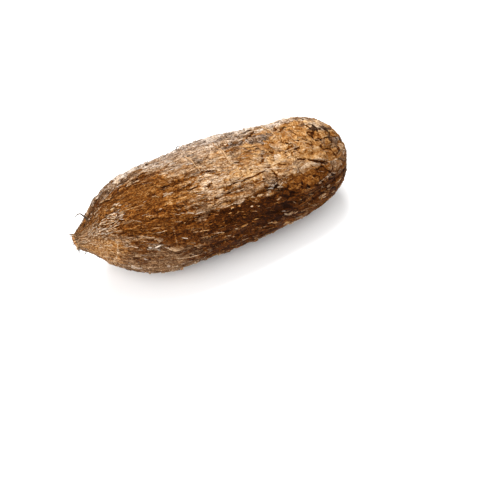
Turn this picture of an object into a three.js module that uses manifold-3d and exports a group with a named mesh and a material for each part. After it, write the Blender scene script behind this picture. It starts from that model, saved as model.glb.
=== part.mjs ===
// A whole cassava root, lying on its side: a stout spindle of starchy flesh in one rough brown bark.
// It tapers to a snapped-off tail at -X and ends at +X in a blunt dome with the scar of its woody neck.
// Millimetres, +Z up. The origin is on the surface the root rests on, under the middle of its box.
import * as THREE from "three";
import { mergeVertices } from "three/addons/utils/BufferGeometryUtils.js";
import Module from "manifold-3d";

const wasm = await Module();
wasm.setup();

// ---- Driving dimensions -------------------------------------------------------------------------

const LENGTH = 220; // from the snapped tail to the neck scar
const GIRTH_RADIUS = 41.3; // the thickest part
// The outline from the tail's broken edge to the rim of the neck scar: [distance from the tail, radius].
const OUTLINE = [
  [0, 4.6],
  [9.5, 11.7],
  [26, 26.8],
  [53, 38],
  [88, GIRTH_RADIUS],
  [128, 41],
  [163, 38],
  [191, 34.2],
  [209, 25.8],
  [217.5, 14.6],
  [LENGTH, 8.5],
];
const TAIL_RISE = 10; // how far the tail's middle lies above the middle of the belly
const TAIL_RISE_FROM = 88; // the tail starts to rise here
const NECK_RISE_FROM = 145; // the underside leaves the table here
const NECK_RISE = 1;
const FLAT_DEPTH = 1.3; // the belly is worn flat by this much where the root lies
const TAIL_CUP = 1.6; // hollow of the snapped tail
const SCAR_RADIUS = 6.4; // woody disc inside the neck scar's rim
const SCAR_DEPTH = 1.8;

const STATIONS = 64; // rings of vertices from tail to neck
const AROUND = 82; // vertices in a ring

// Bark relief, all in millimetres.
const LUMP = { size: 46, height: 1.5 };
const RIB = { length: 40, width: 8, height: 0.6 };
const PLATE = { length: 22, width: 10, step: 0.45, crack: 0.6, crackWidth: 0.25 };
// Long furrows of the bark: they run along the root at a slowly turning angle. Some have a raised lip of
// flaky bark along their upper side. Angles are in degrees round the root, 0 on top and 90 towards -Y.
const FURROWS = [
  { from: 66, to: 172, angle: 51, turn: 0, depth: 1.1, width: 2.4, lip: 1.1 },
  { from: 34, to: 76, angle: -13, turn: 3, depth: 1.2, width: 3.0, lip: 0.4 },
  { from: 112, to: 160, angle: -9, turn: 5, depth: 1.5, width: 3.0, lip: 0.7 },
  { from: 44, to: 84, angle: 20, turn: -6, depth: 0.9, width: 2.4, lip: 0.3 },
  { from: 186, to: 213, angle: 12, turn: 0, depth: 1.1, width: 2.4, lip: 0.5 },
  { from: 184, to: 211, angle: 33, turn: -2, depth: 1.2, width: 2.6, lip: 0.6 },
  { from: 4, to: 34, angle: -30, turn: -6, depth: 1.2, width: 2.2, lip: 0.6 },
  { from: 30, to: 120, angle: 118, turn: 8, depth: 0.8, width: 2.8, lip: 0.2 },
  { from: 96, to: 196, angle: 92, turn: -6, depth: 0.8, width: 2.4, lip: 0.3 },
  { from: 24, to: 100, angle: -70, turn: -8, depth: 1.2, width: 3.0, lip: 0.6 },
  { from: 90, to: 200, angle: -104, turn: 6, depth: 1.2, width: 3.2, lip: 0.8 },
  { from: 40, to: 110, angle: -142, turn: 5, depth: 1.0, width: 2.8, lip: 0.4 },
  { from: 150, to: 218, angle: -52, turn: -6, depth: 1.2, width: 2.8, lip: 0.5 },
  { from: 170, to: 219, angle: 80, turn: 5, depth: 1.0, width: 2.6, lip: 0.4 },
  { from: 176, to: 219, angle: 150, turn: 0, depth: 1.0, width: 2.8, lip: 0.3 },
];
// Broad swellings (and hollows, with a negative height) left by stones and neighbouring roots.
const SWELLS = [
  { at: 22, angle: -60, length: 10, width: 10, height: -0.9 },
  { at: 12, angle: -18, length: 7, width: 7, height: -0.6 },
  { at: 117, angle: -58, length: 18, width: 14, height: 1.3 },
  { at: 172, angle: -48, length: 14, width: 12, height: -1.2 },
  { at: 214, angle: 26, length: 8, width: 12, height: 1.5 },
  { at: 88, angle: 124, length: 16, width: 12, height: -1.4 },
  { at: 24, angle: 150, length: 14, width: 12, height: -1.0 },
  { at: 150, angle: -128, length: 22, width: 14, height: -1.3 },
  { at: 66, angle: -112, length: 20, width: 14, height: 1.1 },
  { at: 176, angle: 108, length: 20, width: 13, height: 1.0 },
];
// Creases that run part of the way round the root: place from the tail, angles from and to, slant in mm.
const CREASES = [
  { at: 33, from: -20, to: 66, slant: -9 },
  { at: 66, from: 14, to: 60, slant: -3 },
  { at: 84, from: 36, to: 118, slant: -4 },
  { at: 92, from: -24, to: 14, slant: 1 },
  { at: 118, from: -20, to: 24, slant: 4 },
  { at: 141, from: 60, to: 130, slant: -5 },
  { at: 178, from: 0, to: 40, slant: 8 },
  { at: 60, from: -150, to: -76, slant: 5 },
  { at: 106, from: -120, to: -50, slant: -6 },
  { at: 152, from: -160, to: -90, slant: 4 },
];
const CREASE = { height: 0.5, width: 2.2 };

// Thin side roots and torn fibres that stayed on: place from the tail, angle, thickness at the root end,
// and how far each point of the strand lies beyond the bark and along the root.
const ROOTLETS = [
  { at: 13, angle: -25, thick: 1.0, path: [[2.6, -1.6], [4.8, -3.6], [4.4, -6.4], [3.0, -7.6]] },
  { at: 1.2, angle: 140, thick: 1.2, path: [[1.0, -0.2], [2.2, -0.7], [3.2, -0.8]] },
  { at: 1.6, angle: -150, thick: 1.0, path: [[1.0, -0.6], [2.2, -1.6]] },
  { at: 5.5, angle: 146, thick: 0.9, path: [[1.0, -0.2], [1.9, -1.1], [2.4, -2.0]] },
  { at: 94, angle: -39, thick: 1.1, path: [[1.6, 0.8], [2.6, 2.4], [1.9, 3.8]] },
  { at: 146, angle: -61, thick: 1.0, path: [[1.6, -0.8], [2.4, -2.6], [3.0, -4.6]] },
  { at: 61, angle: -128, thick: 1.2, path: [[1.8, -0.6], [3.4, -2.2], [4.0, -4.8], [3.2, -7.0]] },
  { at: 118, angle: -97, thick: 1.0, path: [[1.5, 0.6], [3.0, 2.2], [3.4, 4.4]] },
  { at: 181, angle: -83, thick: 1.1, path: [[1.8, -1.0], [3.2, -3.2], [3.0, -5.6]] },
];
const ROOTLET_TIP = 0.6; // thickness at the free end
const ROOTLET_SIDES = 5;
const ROOTLET_STEPS = 7;
const SUNK = 2.5; // how deep a rootlet starts below the bark

const BARK = new THREE.MeshStandardMaterial({ color: 0x8a5a2c, roughness: 0.82, metalness: 0 });

// ---- Repeatable noise -----------------------------------------------------------------------------

// A fixed random number from 0 to 1 for each whole-numbered point of a lattice.
function chance(i, j, k) {
  let h = Math.imul(i, 374761393) ^ Math.imul(j, 668265263) ^ Math.imul(k, 1440662683);
  h = Math.imul(h ^ (h >>> 13), 1274126177);
  return ((h ^ (h >>> 16)) >>> 0) / 4294967296;
}

const ease = (t) => t * t * (3 - 2 * t);
const mix = THREE.MathUtils.lerp;
const clamp = THREE.MathUtils.clamp;

// Smooth noise from -1 to 1 in three dimensions.
function noise(x, y, z) {
  const [i, j, k] = [Math.floor(x), Math.floor(y), Math.floor(z)];
  const [u, v, w] = [ease(x - i), ease(y - j), ease(z - k)];
  const row = (b, c) => mix(chance(i, j + b, k + c), chance(i + 1, j + b, k + c), u);
  return 2 * mix(mix(row(0, 0), row(1, 0), v), mix(row(0, 1), row(1, 1), v), w) - 1;
}

// The nearest scattered point's own random number, and the gap between the nearest two distances.
function cells(x, y, z) {
  const [i0, j0, k0] = [Math.floor(x), Math.floor(y), Math.floor(z)];
  let [near, next, own] = [9, 9, 0];
  for (let i = i0 - 1; i <= i0 + 1; i++)
    for (let j = j0 - 1; j <= j0 + 1; j++)
      for (let k = k0 - 1; k <= k0 + 1; k++) {
        const dx = i + chance(i, j, k) - x;
        const dy = j + chance(i + 57, j, k) - y;
        const dz = k + chance(i, j + 91, k) - z;
        const gap = Math.hypot(dx, dy, dz);
        if (gap < near) {
          [near, next, own] = [gap, near, chance(i, j, k + 133)];
        } else if (gap < next) {
          next = gap;
        }
      }
  return { own, border: next - near };
}

// ---- The bark's surface ------------------------------------------------------------------------------

// 1 in the middle of a stretch, falling to 0 over the given distance outside its ends.
function within(value, from, to, fade) {
  return ease(clamp((value - from) / fade + 1, 0, 1)) * ease(clamp((to - value) / fade + 1, 0, 1));
}

// Shortest way round from one angle to another, in degrees.
const turnBetween = (a, b) => THREE.MathUtils.euclideanModulo(a - b + 180, 360) - 180;

function furrows(along, angle, radius) {
  let height = 0;
  for (const f of FURROWS) {
    const share = (along - f.from) / (f.to - f.from);
    const wander = 3 * noise(along / 17, f.from, f.to);
    const across = THREE.MathUtils.degToRad(turnBetween(angle, f.angle + f.turn * share)) * radius;
    const off = across + wander * Math.min(1, radius / 20);
    const cut = f.lip * Math.exp(-((off / f.width + 1.4) ** 2)) - f.depth * Math.exp(-((off / f.width) ** 2));
    height += cut * within(along, f.from, f.to, 8);
  }
  return height;
}

function swells(along, angle, radius) {
  let height = 0;
  for (const { at, angle: middleAngle, length, width, height: top } of SWELLS) {
    const across = THREE.MathUtils.degToRad(turnBetween(angle, middleAngle)) * radius;
    height += top * Math.exp(-(((along - at) / length) ** 2) - (across / width) ** 2);
  }
  return height;
}

function creases(along, angle) {
  let height = 0;
  for (const c of CREASES) {
    const share = (angle - c.from) / (c.to - c.from);
    const off = along - c.at - c.slant * (share - 0.5) - 1.2 * noise(angle / 14, c.at, 3);
    height += CREASE.height * Math.exp(-((off / CREASE.width) ** 2)) * within(angle, c.from, c.to, 6);
  }
  return height;
}

// Height of the bark above the smooth outline.
function relief(along, radius, angle) {
  const turn = THREE.MathUtils.degToRad(angle);
  const [side, up] = [GIRTH_RADIUS * Math.sin(turn), GIRTH_RADIUS * Math.cos(turn)];
  const lump = LUMP.height * noise(along / LUMP.size + 7, side / LUMP.size, up / LUMP.size);
  const wave = 2.2 * noise(along / 21, side / 12, up / 12);
  const rib = 1 - 2 * Math.abs(noise(along / RIB.length, (side + wave) / RIB.width, (up - wave) / RIB.width));
  const plate = cells((along + wave) / PLATE.length, (side + wave) / PLATE.width, up / PLATE.width);
  const crack = PLATE.crack * (1 - ease(clamp(plate.border / PLATE.crackWidth, 0, 1)));
  const bark = RIB.height * rib + PLATE.step * (2 * plate.own - 1) - crack;
  const size = clamp(radius / 24, 0.25, 1); // the bark is finer where the root is thin
  const belly = 1 - 0.75 * ease(clamp((-Math.cos(turn) - 0.86) / 0.1, 0, 1)); // worn where it lies
  const marks = creases(along, angle) + furrows(along, angle, radius) * Math.sqrt(size);
  return lump * size + swells(along, angle, radius) + belly * (size * bark + marks);
}

// The middle line: level over the belly, rising to the tail and a little to the neck.
const outline = new THREE.SplineCurve(OUTLINE.map(([along, radius]) => new THREE.Vector2(along, radius)));
const spaced = outline.getSpacedPoints(STATIONS - 1);

function radiusAt(along) {
  const next = spaced.findIndex((p) => p.x >= along);
  if (next < 1) return spaced[Math.max(next, 0)].y;
  const [a, b] = [spaced[next - 1], spaced[next]];
  return mix(a.y, b.y, (along - a.x) / (b.x - a.x));
}

function middle(along) {
  const tail = Math.max(0, (TAIL_RISE_FROM - along) / TAIL_RISE_FROM);
  const neck = Math.max(0, (along - NECK_RISE_FROM) / (LENGTH - NECK_RISE_FROM));
  const belly = radiusAt(clamp(along, TAIL_RISE_FROM, NECK_RISE_FROM));
  return belly + TAIL_RISE * tail ** 2 + NECK_RISE * neck ** 2 - FLAT_DEPTH;
}

// A point at a distance from the tail, at an angle, on a smooth outline of that radius and slope,
// lifted by the bark's relief along the outline's normal.
function place(along, radius, slope, angle, lift) {
  const turn = THREE.MathUtils.degToRad(angle);
  const out = radius + lift * slope.x;
  return new THREE.Vector3(
    along - LENGTH / 2 - lift * slope.y,
    -out * Math.sin(turn),
    middle(along) + out * Math.cos(turn),
  );
}

function barkRings() {
  return spaced.map((p, n) => {
    const [a, b] = [spaced[Math.max(n - 1, 0)], spaced[Math.min(n + 1, STATIONS - 1)]];
    const slope = b.clone().sub(a).normalize();
    return Array.from({ length: AROUND }, (_, m) => {
      const angle = (360 * m) / AROUND - 180;
      const frayed = n === 0 ? 0.9 * noise(m / 2.3, 5, 5) : 0; // the tail's broken edge is ragged
      const spot = place(p.x, p.y, slope, angle, relief(p.x, p.y, angle));
      spot.x += frayed;
      return spot;
    });
  });
}

// The snapped tail is a small cup and the neck scar a sunken disc with a raised middle.
function endRings() {
  const flat = new THREE.Vector2(1, 0);
  const ring = (along, radius, rough) =>
    Array.from({ length: AROUND }, (_, m) => {
      const angle = (360 * m) / AROUND - 180;
      const spot = place(along, radius * (1 + 0.08 * noise(m / 4, radius, 2)), flat, angle, 0);
      spot.x += rough * noise(m / 3, along, radius);
      return spot;
    });
  return {
    tail: [place(TAIL_CUP, 0, flat, 0, 0), ring(TAIL_CUP * 0.6, 2.6, 0.5)],
    neck: [ring(LENGTH - SCAR_DEPTH, SCAR_RADIUS, 0.3), ring(LENGTH - SCAR_DEPTH - 0.5, 2.4, 0.3),
      place(LENGTH - SCAR_DEPTH + 0.6, 0, flat, 0, 0)],
  };
}

// ---- Solids -----------------------------------------------------------------------------------------

// Faces between two closed rings of vertices, and from a ring to a single point.
function joinRings(faces, first, second, count) {
  for (let m = 0; m < count; m++) {
    const n = (m + 1) % count;
    faces.push(first + m, second + n, second + m, first + m, first + n, second + n);
  }
}
function closeRing(faces, ring, point, count, outward) {
  for (let m = 0; m < count; m++) {
    const n = (m + 1) % count;
    faces.push(...(outward ? [ring + n, point, ring + m] : [ring + m, point, ring + n]));
  }
}

function geometryOf(points, faces) {
  const geometry = new THREE.BufferGeometry().setFromPoints(points);
  geometry.setIndex(faces);
  return mergeVertices(geometry, 1e-4);
}

function solidOf(geometry) {
  const vertProperties = geometry.attributes.position.array;
  const triVerts = new Uint32Array(geometry.index.array);
  return new wasm.Manifold(new wasm.Mesh({ numProp: 3, vertProperties, triVerts }));
}

function bodySolid() {
  const { tail, neck } = endRings();
  const rings = [tail[1], ...barkRings(), neck[0], neck[1]];
  const points = [...rings.flat(), tail[0], neck[2]];
  const faces = [];
  for (let n = 0; n + 1 < rings.length; n++) joinRings(faces, n * AROUND, (n + 1) * AROUND, AROUND);
  closeRing(faces, 0, rings.length * AROUND, AROUND, false);
  closeRing(faces, (rings.length - 1) * AROUND, rings.length * AROUND + 1, AROUND, true);
  return solidOf(geometryOf(points, faces));
}

// A strand along a curve, thinning evenly to its free end.
function rootletSolid({ at, angle, thick, path }) {
  const flat = new THREE.Vector2(1, 0);
  const radius = radiusAt(at);
  const stops = [[-SUNK, 0.6], [0, 0.1], ...path];
  const curve = new THREE.CatmullRomCurve3(
    stops.map(([lift, along]) => place(at + along, radius, flat, angle, lift)),
  );
  const frames = curve.computeFrenetFrames(ROOTLET_STEPS, false);
  const points = [];
  for (let n = 0; n <= ROOTLET_STEPS; n++) {
    const spot = curve.getPointAt(n / ROOTLET_STEPS);
    const half = mix(thick, ROOTLET_TIP, n / ROOTLET_STEPS) / 2;
    for (let m = 0; m < ROOTLET_SIDES; m++) {
      const turn = (2 * Math.PI * m) / ROOTLET_SIDES;
      points.push(
        spot.clone()
          .addScaledVector(frames.normals[n], half * Math.cos(turn))
          .addScaledVector(frames.binormals[n], half * Math.sin(turn)),
      );
    }
  }
  const last = ROOTLET_STEPS * ROOTLET_SIDES;
  points.push(curve.getPointAt(0), curve.getPointAt(1));
  const faces = [];
  for (let n = 0; n < ROOTLET_STEPS; n++) {
    joinRings(faces, n * ROOTLET_SIDES, (n + 1) * ROOTLET_SIDES, ROOTLET_SIDES);
  }
  closeRing(faces, 0, last + ROOTLET_SIDES, ROOTLET_SIDES, false);
  closeRing(faces, last, last + ROOTLET_SIDES + 1, ROOTLET_SIDES, true);
  return solidOf(geometryOf(points, faces));
}

// Everything below the table's surface is cut away, which leaves the worn flat of the belly.
function belowTable() {
  const box = new THREE.BoxGeometry(2 * LENGTH, LENGTH, LENGTH).translate(0, 0, -LENGTH / 2);
  box.deleteAttribute("normal");
  box.deleteAttribute("uv");
  return solidOf(mergeVertices(box));
}

function rootGeometry() {
  let solid = bodySolid();
  for (const rootlet of ROOTLETS) solid = solid.add(rootletSolid(rootlet));
  solid = solid.subtract(belowTable());
  const mesh = solid.getMesh();
  const geometry = new THREE.BufferGeometry();
  geometry.setAttribute("position", new THREE.BufferAttribute(mesh.vertProperties, 3));
  geometry.setIndex(new THREE.BufferAttribute(mesh.triVerts, 1));
  geometry.computeVertexNormals();
  return geometry;
}

const root = new THREE.Mesh(rootGeometry(), BARK);
root.name = "cassava_root";

const part = new THREE.Group();
part.add(root);
export default part;
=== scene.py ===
# %% [markdown]
# # A whole cassava root, lying on its side
#
# A cassava root is a stout spindle of starchy flesh in a thin brown bark. The bark is what we see: papery
# plates that crack and lift, streaks that run to both ends, pale dust on the ridges and a few thin side
# roots. Its ridges are painted paler and its hollows darker, partly as painted highlight and painted shade.
# This lesson makes that bark on top of a imported CAD model, which fixes the root's size and place.
#
# Lengths are in millimetres until a mesh is made, because bark is easiest to think about in millimetres.

import math
import time

import bpy
import numpy as np
from mathutils import Matrix, Vector


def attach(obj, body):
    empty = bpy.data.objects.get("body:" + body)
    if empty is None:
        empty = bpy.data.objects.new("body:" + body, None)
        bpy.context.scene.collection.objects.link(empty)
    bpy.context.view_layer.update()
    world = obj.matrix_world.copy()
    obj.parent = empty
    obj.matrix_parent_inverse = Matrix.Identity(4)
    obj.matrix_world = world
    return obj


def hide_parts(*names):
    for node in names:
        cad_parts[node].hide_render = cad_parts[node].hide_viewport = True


began = time.perf_counter()
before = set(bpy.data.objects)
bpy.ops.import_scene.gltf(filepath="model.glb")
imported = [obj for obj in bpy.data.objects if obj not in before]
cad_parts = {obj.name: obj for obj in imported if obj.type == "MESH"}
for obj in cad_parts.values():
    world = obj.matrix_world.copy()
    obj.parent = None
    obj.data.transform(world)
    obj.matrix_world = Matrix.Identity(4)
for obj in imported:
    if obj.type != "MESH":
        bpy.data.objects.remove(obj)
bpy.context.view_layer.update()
MM = 0.001

# %% [markdown]
# ## The camera
#
# The root is seen from above and from its tail's side, with a long lens that hardly narrows its far end.
# The camera aims a little past the root's middle, so that the root lies up and to the left in the picture.
# Aiming does this better than a lens shift, which would also push the root out of every other view's middle.

# %% Camera
CAMERA_AZIMUTH = -29
CAMERA_ELEVATION = 46
CAMERA_DISTANCE = 868
CAMERA_LENS = 85
CAMERA_SENSOR = 36
AIM_HEIGHT = 42.9  # the middle of the root's height
AIM_RIGHT = 27.4
AIM_DOWN = 41


def camera_axes(azimuth, elevation):
    """Unit vectors from the subject: towards the camera, to the picture's right, and up the picture."""
    a, e = math.radians(azimuth), math.radians(elevation)
    back = Vector((math.sin(a) * math.cos(e), -math.cos(a) * math.cos(e), math.sin(e)))
    right = Vector((math.cos(a), math.sin(a), 0))
    return back, right, back.cross(right)


back, right, up = camera_axes(CAMERA_AZIMUTH, CAMERA_ELEVATION)
middle_of_root = Vector((0, 0, AIM_HEIGHT))
camera_place = middle_of_root + back * CAMERA_DISTANCE
aim = middle_of_root + right * AIM_RIGHT - up * AIM_DOWN

camera = bpy.data.objects.new("camera", bpy.data.cameras.new("camera"))
camera.data.lens = CAMERA_LENS
camera.data.sensor_width = CAMERA_SENSOR
camera.location = camera_place * MM
looks_back = (camera_place - aim).normalized()
level = (right - looks_back * right.dot(looks_back)).normalized()
camera.rotation_euler = Matrix((level, looks_back.cross(level), looks_back)).transposed().to_euler()
bpy.context.collection.objects.link(camera)
bpy.context.scene.camera = camera
print("camera at", [round(v, 3) for v in camera.location])

# %% [markdown]
# ## Repeatable chance
#
# Bark needs thousands of random choices that never change between runs. A hash gives each point of a lattice
# one fixed number, and everything else is built on it: smooth noise blends the numbers of the eight lattice
# points around a place, and cells find the nearest of the scattered points. The CAD source uses the same
# hash, so the big ribs and plates made here are the ones that the CAD solid has.
#
# Wherever noise is asked for, a place is divided by the size of the waves in millimetres, and the numbers
# beside it only choose another pattern.


# %% Chance, noise and cells
# Large odd numbers, whose products with a place's whole numbers have no pattern that shows.
MIX_I, MIX_J, MIX_K = np.uint32(374761393), np.uint32(668265263), np.uint32(1440662683)
MIX_AGAIN = np.uint32(1274126177)
SHIFT_FIRST, SHIFT_LAST = np.uint32(13), np.uint32(16)  # bits


def chance(i, j, k):
    """A fixed random number from 0 to 1 for each whole-numbered point of a lattice."""
    i, j, k = (np.asarray(v).astype(np.int64).astype(np.uint32) for v in (i, j, k))
    with np.errstate(over="ignore"):  # the products are meant to run over their 32 bits
        h = i * MIX_I ^ j * MIX_J ^ k * MIX_K
        h = (h ^ (h >> SHIFT_FIRST)) * MIX_AGAIN
    return (h ^ (h >> SHIFT_LAST)) / 2.0**32


def ease(t):
    """0 below 0, 1 above 1, and a smooth rise between."""
    t = np.clip(t, 0, 1)
    return t * t * (3 - 2 * t)


def noise(x, y, z):
    """Smooth noise from -1 to 1 in three dimensions."""
    x, y, z = np.broadcast_arrays(*(np.atleast_1d(np.asarray(v, float)) for v in (x, y, z)))
    i, j, k = np.floor(x), np.floor(y), np.floor(z)
    u, v, w = ease(x - i), ease(y - j), ease(z - k)

    def row(b, c):
        first = chance(i, j + b, k + c)
        return first + (chance(i + 1, j + b, k + c) - first) * u

    near = row(0, 0) + (row(1, 0) - row(0, 0)) * v
    far = row(0, 1) + (row(1, 1) - row(0, 1)) * v
    return 2 * (near + (far - near) * w) - 1


def layered(x, y, z, octaves):
    """Noise with finer and fainter noise added, from about -1 to 1."""
    total = sum(noise(x * 2**n + 17 * n, y * 2**n, z * 2**n) / 2**n for n in range(octaves))
    return total / (2 - 0.5 ** (octaves - 1))


def cells(x, y, z):
    """The nearest scattered point's own random number, and the gap to the border with the next one."""
    i0, j0, k0 = np.floor(x), np.floor(y), np.floor(z)
    near = np.full(x.shape, 9.0)
    following = near.copy()
    own = np.zeros(x.shape)
    for step in np.ndindex(3, 3, 3):
        i, j, k = i0 + step[0] - 1, j0 + step[1] - 1, k0 + step[2] - 1
        away = [i + chance(i, j, k) - x, j + chance(i + 57, j, k) - y, k + chance(i, j + 91, k) - z]
        gap = np.sqrt((np.stack(away) ** 2).sum(0))
        closer = gap < near
        following = np.where(closer, near, np.minimum(following, gap))
        own = np.where(closer, chance(i, j, k + 133), own)
        near = np.where(closer, gap, near)
    return own, following - near


draws = chance(np.arange(10000), 3, 7)
print("chance has a mean of", round(float(draws.mean()), 3), "and starts with", draws[:2].round(3))

# %% [markdown]
# ## The root's form
#
# The form is a smooth outline turned round a middle line that rises towards the tail. It repeats the CAD
# source's driving dimensions. A root could also be sculpted, but an outline and a formula keep the finished
# skin close to the CAD solid, and give each place on the bark two coordinates that make sense to a gardener:
# how far along the root it is, and which way round.

# %% Outline and middle line
LENGTH = 220
GIRTH_RADIUS = 41.3
TAIL_EDGE, NECK_EDGE = 4.6, 8.5  # radius of the tail's broken edge, and of the neck scar's rim
# The outline from tail to neck: distance from the tail, and radius.
OUTLINE = [
    (0, TAIL_EDGE),
    (9.5, 11.7),
    (26, 26.8),
    (53, 38),
    (88, GIRTH_RADIUS),
    (128, 41),
    (163, 38),
    (191, 34.2),
    (209, 25.8),
    (217.5, 14.6),
    (LENGTH, NECK_EDGE),
]
CURVE_POINTS = 4001
SLOPE_STEP = 1.5
TAIL_RISE = 10
TAIL_RISE_FROM = 88
NECK_RISE_FROM = 145
NECK_RISE = 1
FLAT_DEPTH = 1.3


def smooth_curve(stops, steps):
    """Points on a smooth curve through the stops."""
    stops = np.asarray(stops, float)
    spans = len(stops) - 1
    t = np.linspace(0, spans, steps)
    n = np.minimum(t.astype(int), spans - 1)
    u = (t - n)[:, None]
    p0, p1, p2, p3 = (stops[np.clip(n + step, 0, spans)] for step in (-1, 0, 1, 2))
    v0, v1 = (p2 - p0) / 2, (p3 - p1) / 2
    return (2 * p1 - 2 * p2 + v0 + v1) * u**3 + (3 * p2 - 3 * p1 - 2 * v0 - v1) * u**2 + v0 * u + p1


CURVE = smooth_curve(OUTLINE, CURVE_POINTS)
CURVE_RUN = np.concatenate([[0], np.cumsum(np.hypot(*np.diff(CURVE, axis=0).T))])
RUN = CURVE_RUN[-1]  # the length of the outline, followed over the bark from tail to neck


def along_at(run):
    """Distance from the tail, straight along the root, of a place that far over the bark."""
    return np.interp(run, CURVE_RUN, CURVE[:, 0])


def run_at(along):
    """Distance over the bark of a place that far from the tail."""
    return np.interp(along, CURVE[:, 0], CURVE_RUN)


def radius_at(run):
    return np.interp(run, CURVE_RUN, CURVE[:, 1])


def slope_at(run):
    """Unit direction of the outline: its share along the root and its share outwards."""
    d = np.stack([f(run + SLOPE_STEP) - f(run - SLOPE_STEP) for f in (along_at, radius_at)])
    return d / np.hypot(*d)


def middle_height(along):
    """Height of the middle line: level over the belly, rising to the tail and a little to the neck."""
    tail = np.maximum(0, (TAIL_RISE_FROM - along) / TAIL_RISE_FROM)
    neck = np.maximum(0, (along - NECK_RISE_FROM) / (LENGTH - NECK_RISE_FROM))
    belly = np.interp(np.clip(along, TAIL_RISE_FROM, NECK_RISE_FROM), CURVE[:, 0], CURVE[:, 1])
    return belly + TAIL_RISE * tail**2 + NECK_RISE * neck**2 - FLAT_DEPTH


def place(along, radius, slope, angle, lift):
    """Points at a distance from the tail and an angle, lifted off the smooth outline by lift."""
    turn = np.radians(angle)
    out = radius + lift * slope[0]
    x = along - LENGTH / 2 - lift * slope[1]
    z = middle_height(along) + out * np.cos(turn)
    return np.stack(np.broadcast_arrays(x, -out * np.sin(turn), z), -1)


print("the outline is", round(float(RUN), 1), "mm long over the bark")

# %% [markdown]
# ## The big relief
#
# Soil presses lumps and hollows into a growing root, the bark splits into plates and furrows as the root
# swells, and drying creases it. The CAD solid has all this as well as its facets can hold it. The same
# formulas are used here with seven times as many points round the root, so it comes out crisp. What catches
# the eye is listed one by one, and the rest is noise.

# %% Furrows, swellings and creases
# Long furrows: from and to along the root, angle (0 on top, 90 towards -Y), turn, depth, width, raised lip.
FURROWS = [
    (66, 172, 51, 0, 1.1, 2.4, 1.1),
    (34, 76, -13, 3, 1.2, 3.0, 0.4),
    (112, 160, -9, 5, 1.5, 3.0, 0.7),
    (44, 84, 20, -6, 0.9, 2.4, 0.3),
    (186, 213, 12, 0, 1.1, 2.4, 0.5),
    (184, 211, 33, -2, 1.2, 2.6, 0.6),
    (4, 34, -30, -6, 1.2, 2.2, 0.6),
    (30, 120, 118, 8, 0.8, 2.8, 0.2),
    (96, 196, 92, -6, 0.8, 2.4, 0.3),
    (24, 100, -70, -8, 1.2, 3.0, 0.6),
    (90, 200, -104, 6, 1.2, 3.2, 0.8),
    (40, 110, -142, 5, 1.0, 2.8, 0.4),
    (150, 218, -52, -6, 1.2, 2.8, 0.5),
    (170, 219, 80, 5, 1.0, 2.6, 0.4),
    (176, 219, 150, 0, 1.0, 2.8, 0.3),
]
# Broad swellings, and hollows with a negative height: place, angle, length, width and height.
SWELLS = [
    (22, -60, 10, 10, -0.9),
    (12, -18, 7, 7, -0.6),
    (117, -58, 18, 14, 1.3),
    (172, -48, 14, 12, -1.2),
    (214, 26, 8, 12, 1.5),
    (88, 124, 16, 12, -1.4),
    (24, 150, 14, 12, -1.0),
    (150, -128, 22, 14, -1.3),
    (66, -112, 20, 14, 1.1),
    (176, 108, 20, 13, 1.0),
]
# Creases that run part of the way round: place, angles from and to, and slant along the root.
CREASES = [
    (33, -20, 66, -9),
    (66, 14, 60, -3),
    (84, 36, 118, -4),
    (92, -24, 14, 1),
    (118, -20, 24, 4),
    (141, 60, 130, -5),
    (178, 0, 40, 8),
    (60, -150, -76, 5),
    (106, -120, -50, -6),
    (152, -160, -90, 4),
]
print(len(FURROWS), "furrows,", len(SWELLS), "swellings and", len(CREASES), "creases")

# %% Relief shared with the CAD solid
LUMP_SIZE, LUMP_HEIGHT = 46, 1.5
RIB_LENGTH, RIB_WIDTH, RIB_HEIGHT = 40, 8, 0.6
RIB_WAVE = 2.2  # how far the ribs and the plates' borders waver
PLATE_LENGTH, PLATE_WIDTH, PLATE_STEP = 22, 10, 0.45
PLATE_CRACK, PLATE_CRACK_WIDTH = 0.6, 0.25
SMOOTH_PLATES = 0.3  # how much of the plates shows through smooth bark
FURROW_WANDER, FURROW_FADE = 3, 8  # how far a furrow strays sideways, and how far its ends run out
LIP_OFFSET = 1.4  # from the middle of a furrow to its lip, in widths
CREASE_HEIGHT, CREASE_WIDTH = 0.5, 2.2
CREASE_WANDER, CREASE_FADE = 1.2, 6
BIG_FULL_RADIUS, BIG_LEAST = 24, 0.25  # radius from which the relief is full, and its least share
BELLY_WEAR = 0.75  # how much of the bark is worn away where the root lies
BELLY_DEPTH, BELLY_BLEND = 0.86, 0.1  # how far down that begins and over what it grows, in radii


def within(value, start, end, fade):
    """1 in the middle of a stretch, falling to 0 over the given distance outside its ends."""
    return ease((value - start) / fade + 1) * ease((end - value) / fade + 1)


def turn_between(a, b):
    """Shortest way round from one angle to another, in degrees."""
    return (a - b + 180) % 360 - 180


def wrapped(angle):
    """Sideways and upward place on a round bar as thick as the root, so that noise on it has no seam."""
    turn = np.radians(angle)
    return GIRTH_RADIUS * np.sin(turn), GIRTH_RADIUS * np.cos(turn)


def size_share(radius, full, least):
    """Share of its full size that something has where the root is that thick."""
    return np.clip(radius / full, least, 1)


# %% The big relief, added up
def furrow_height(along, angle, radius):
    height = 0
    for start, end, at_angle, turn, deep, width, lip in FURROWS:
        share = (along - start) / (end - start)
        wander = FURROW_WANDER * noise(along / 17, start, end) * np.minimum(1, radius / 20)
        off = (np.radians(turn_between(angle, at_angle + turn * share)) * radius + wander) / width
        broken = 0.35 + 0.65 * ease(0.5 + 1.3 * noise(along / 8, start, 3))
        cut = lip * broken * np.exp(-((off + LIP_OFFSET) ** 2)) - deep * np.exp(-(off**2))
        height = height + cut * within(along, start, end, FURROW_FADE)
    return height


def swell_height(along, angle, radius):
    height = 0
    for at, at_angle, length, width, top in SWELLS:
        across = np.radians(turn_between(angle, at_angle)) * radius
        height = height + top * np.exp(-(((along - at) / length) ** 2) - (across / width) ** 2)
    return height


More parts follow.
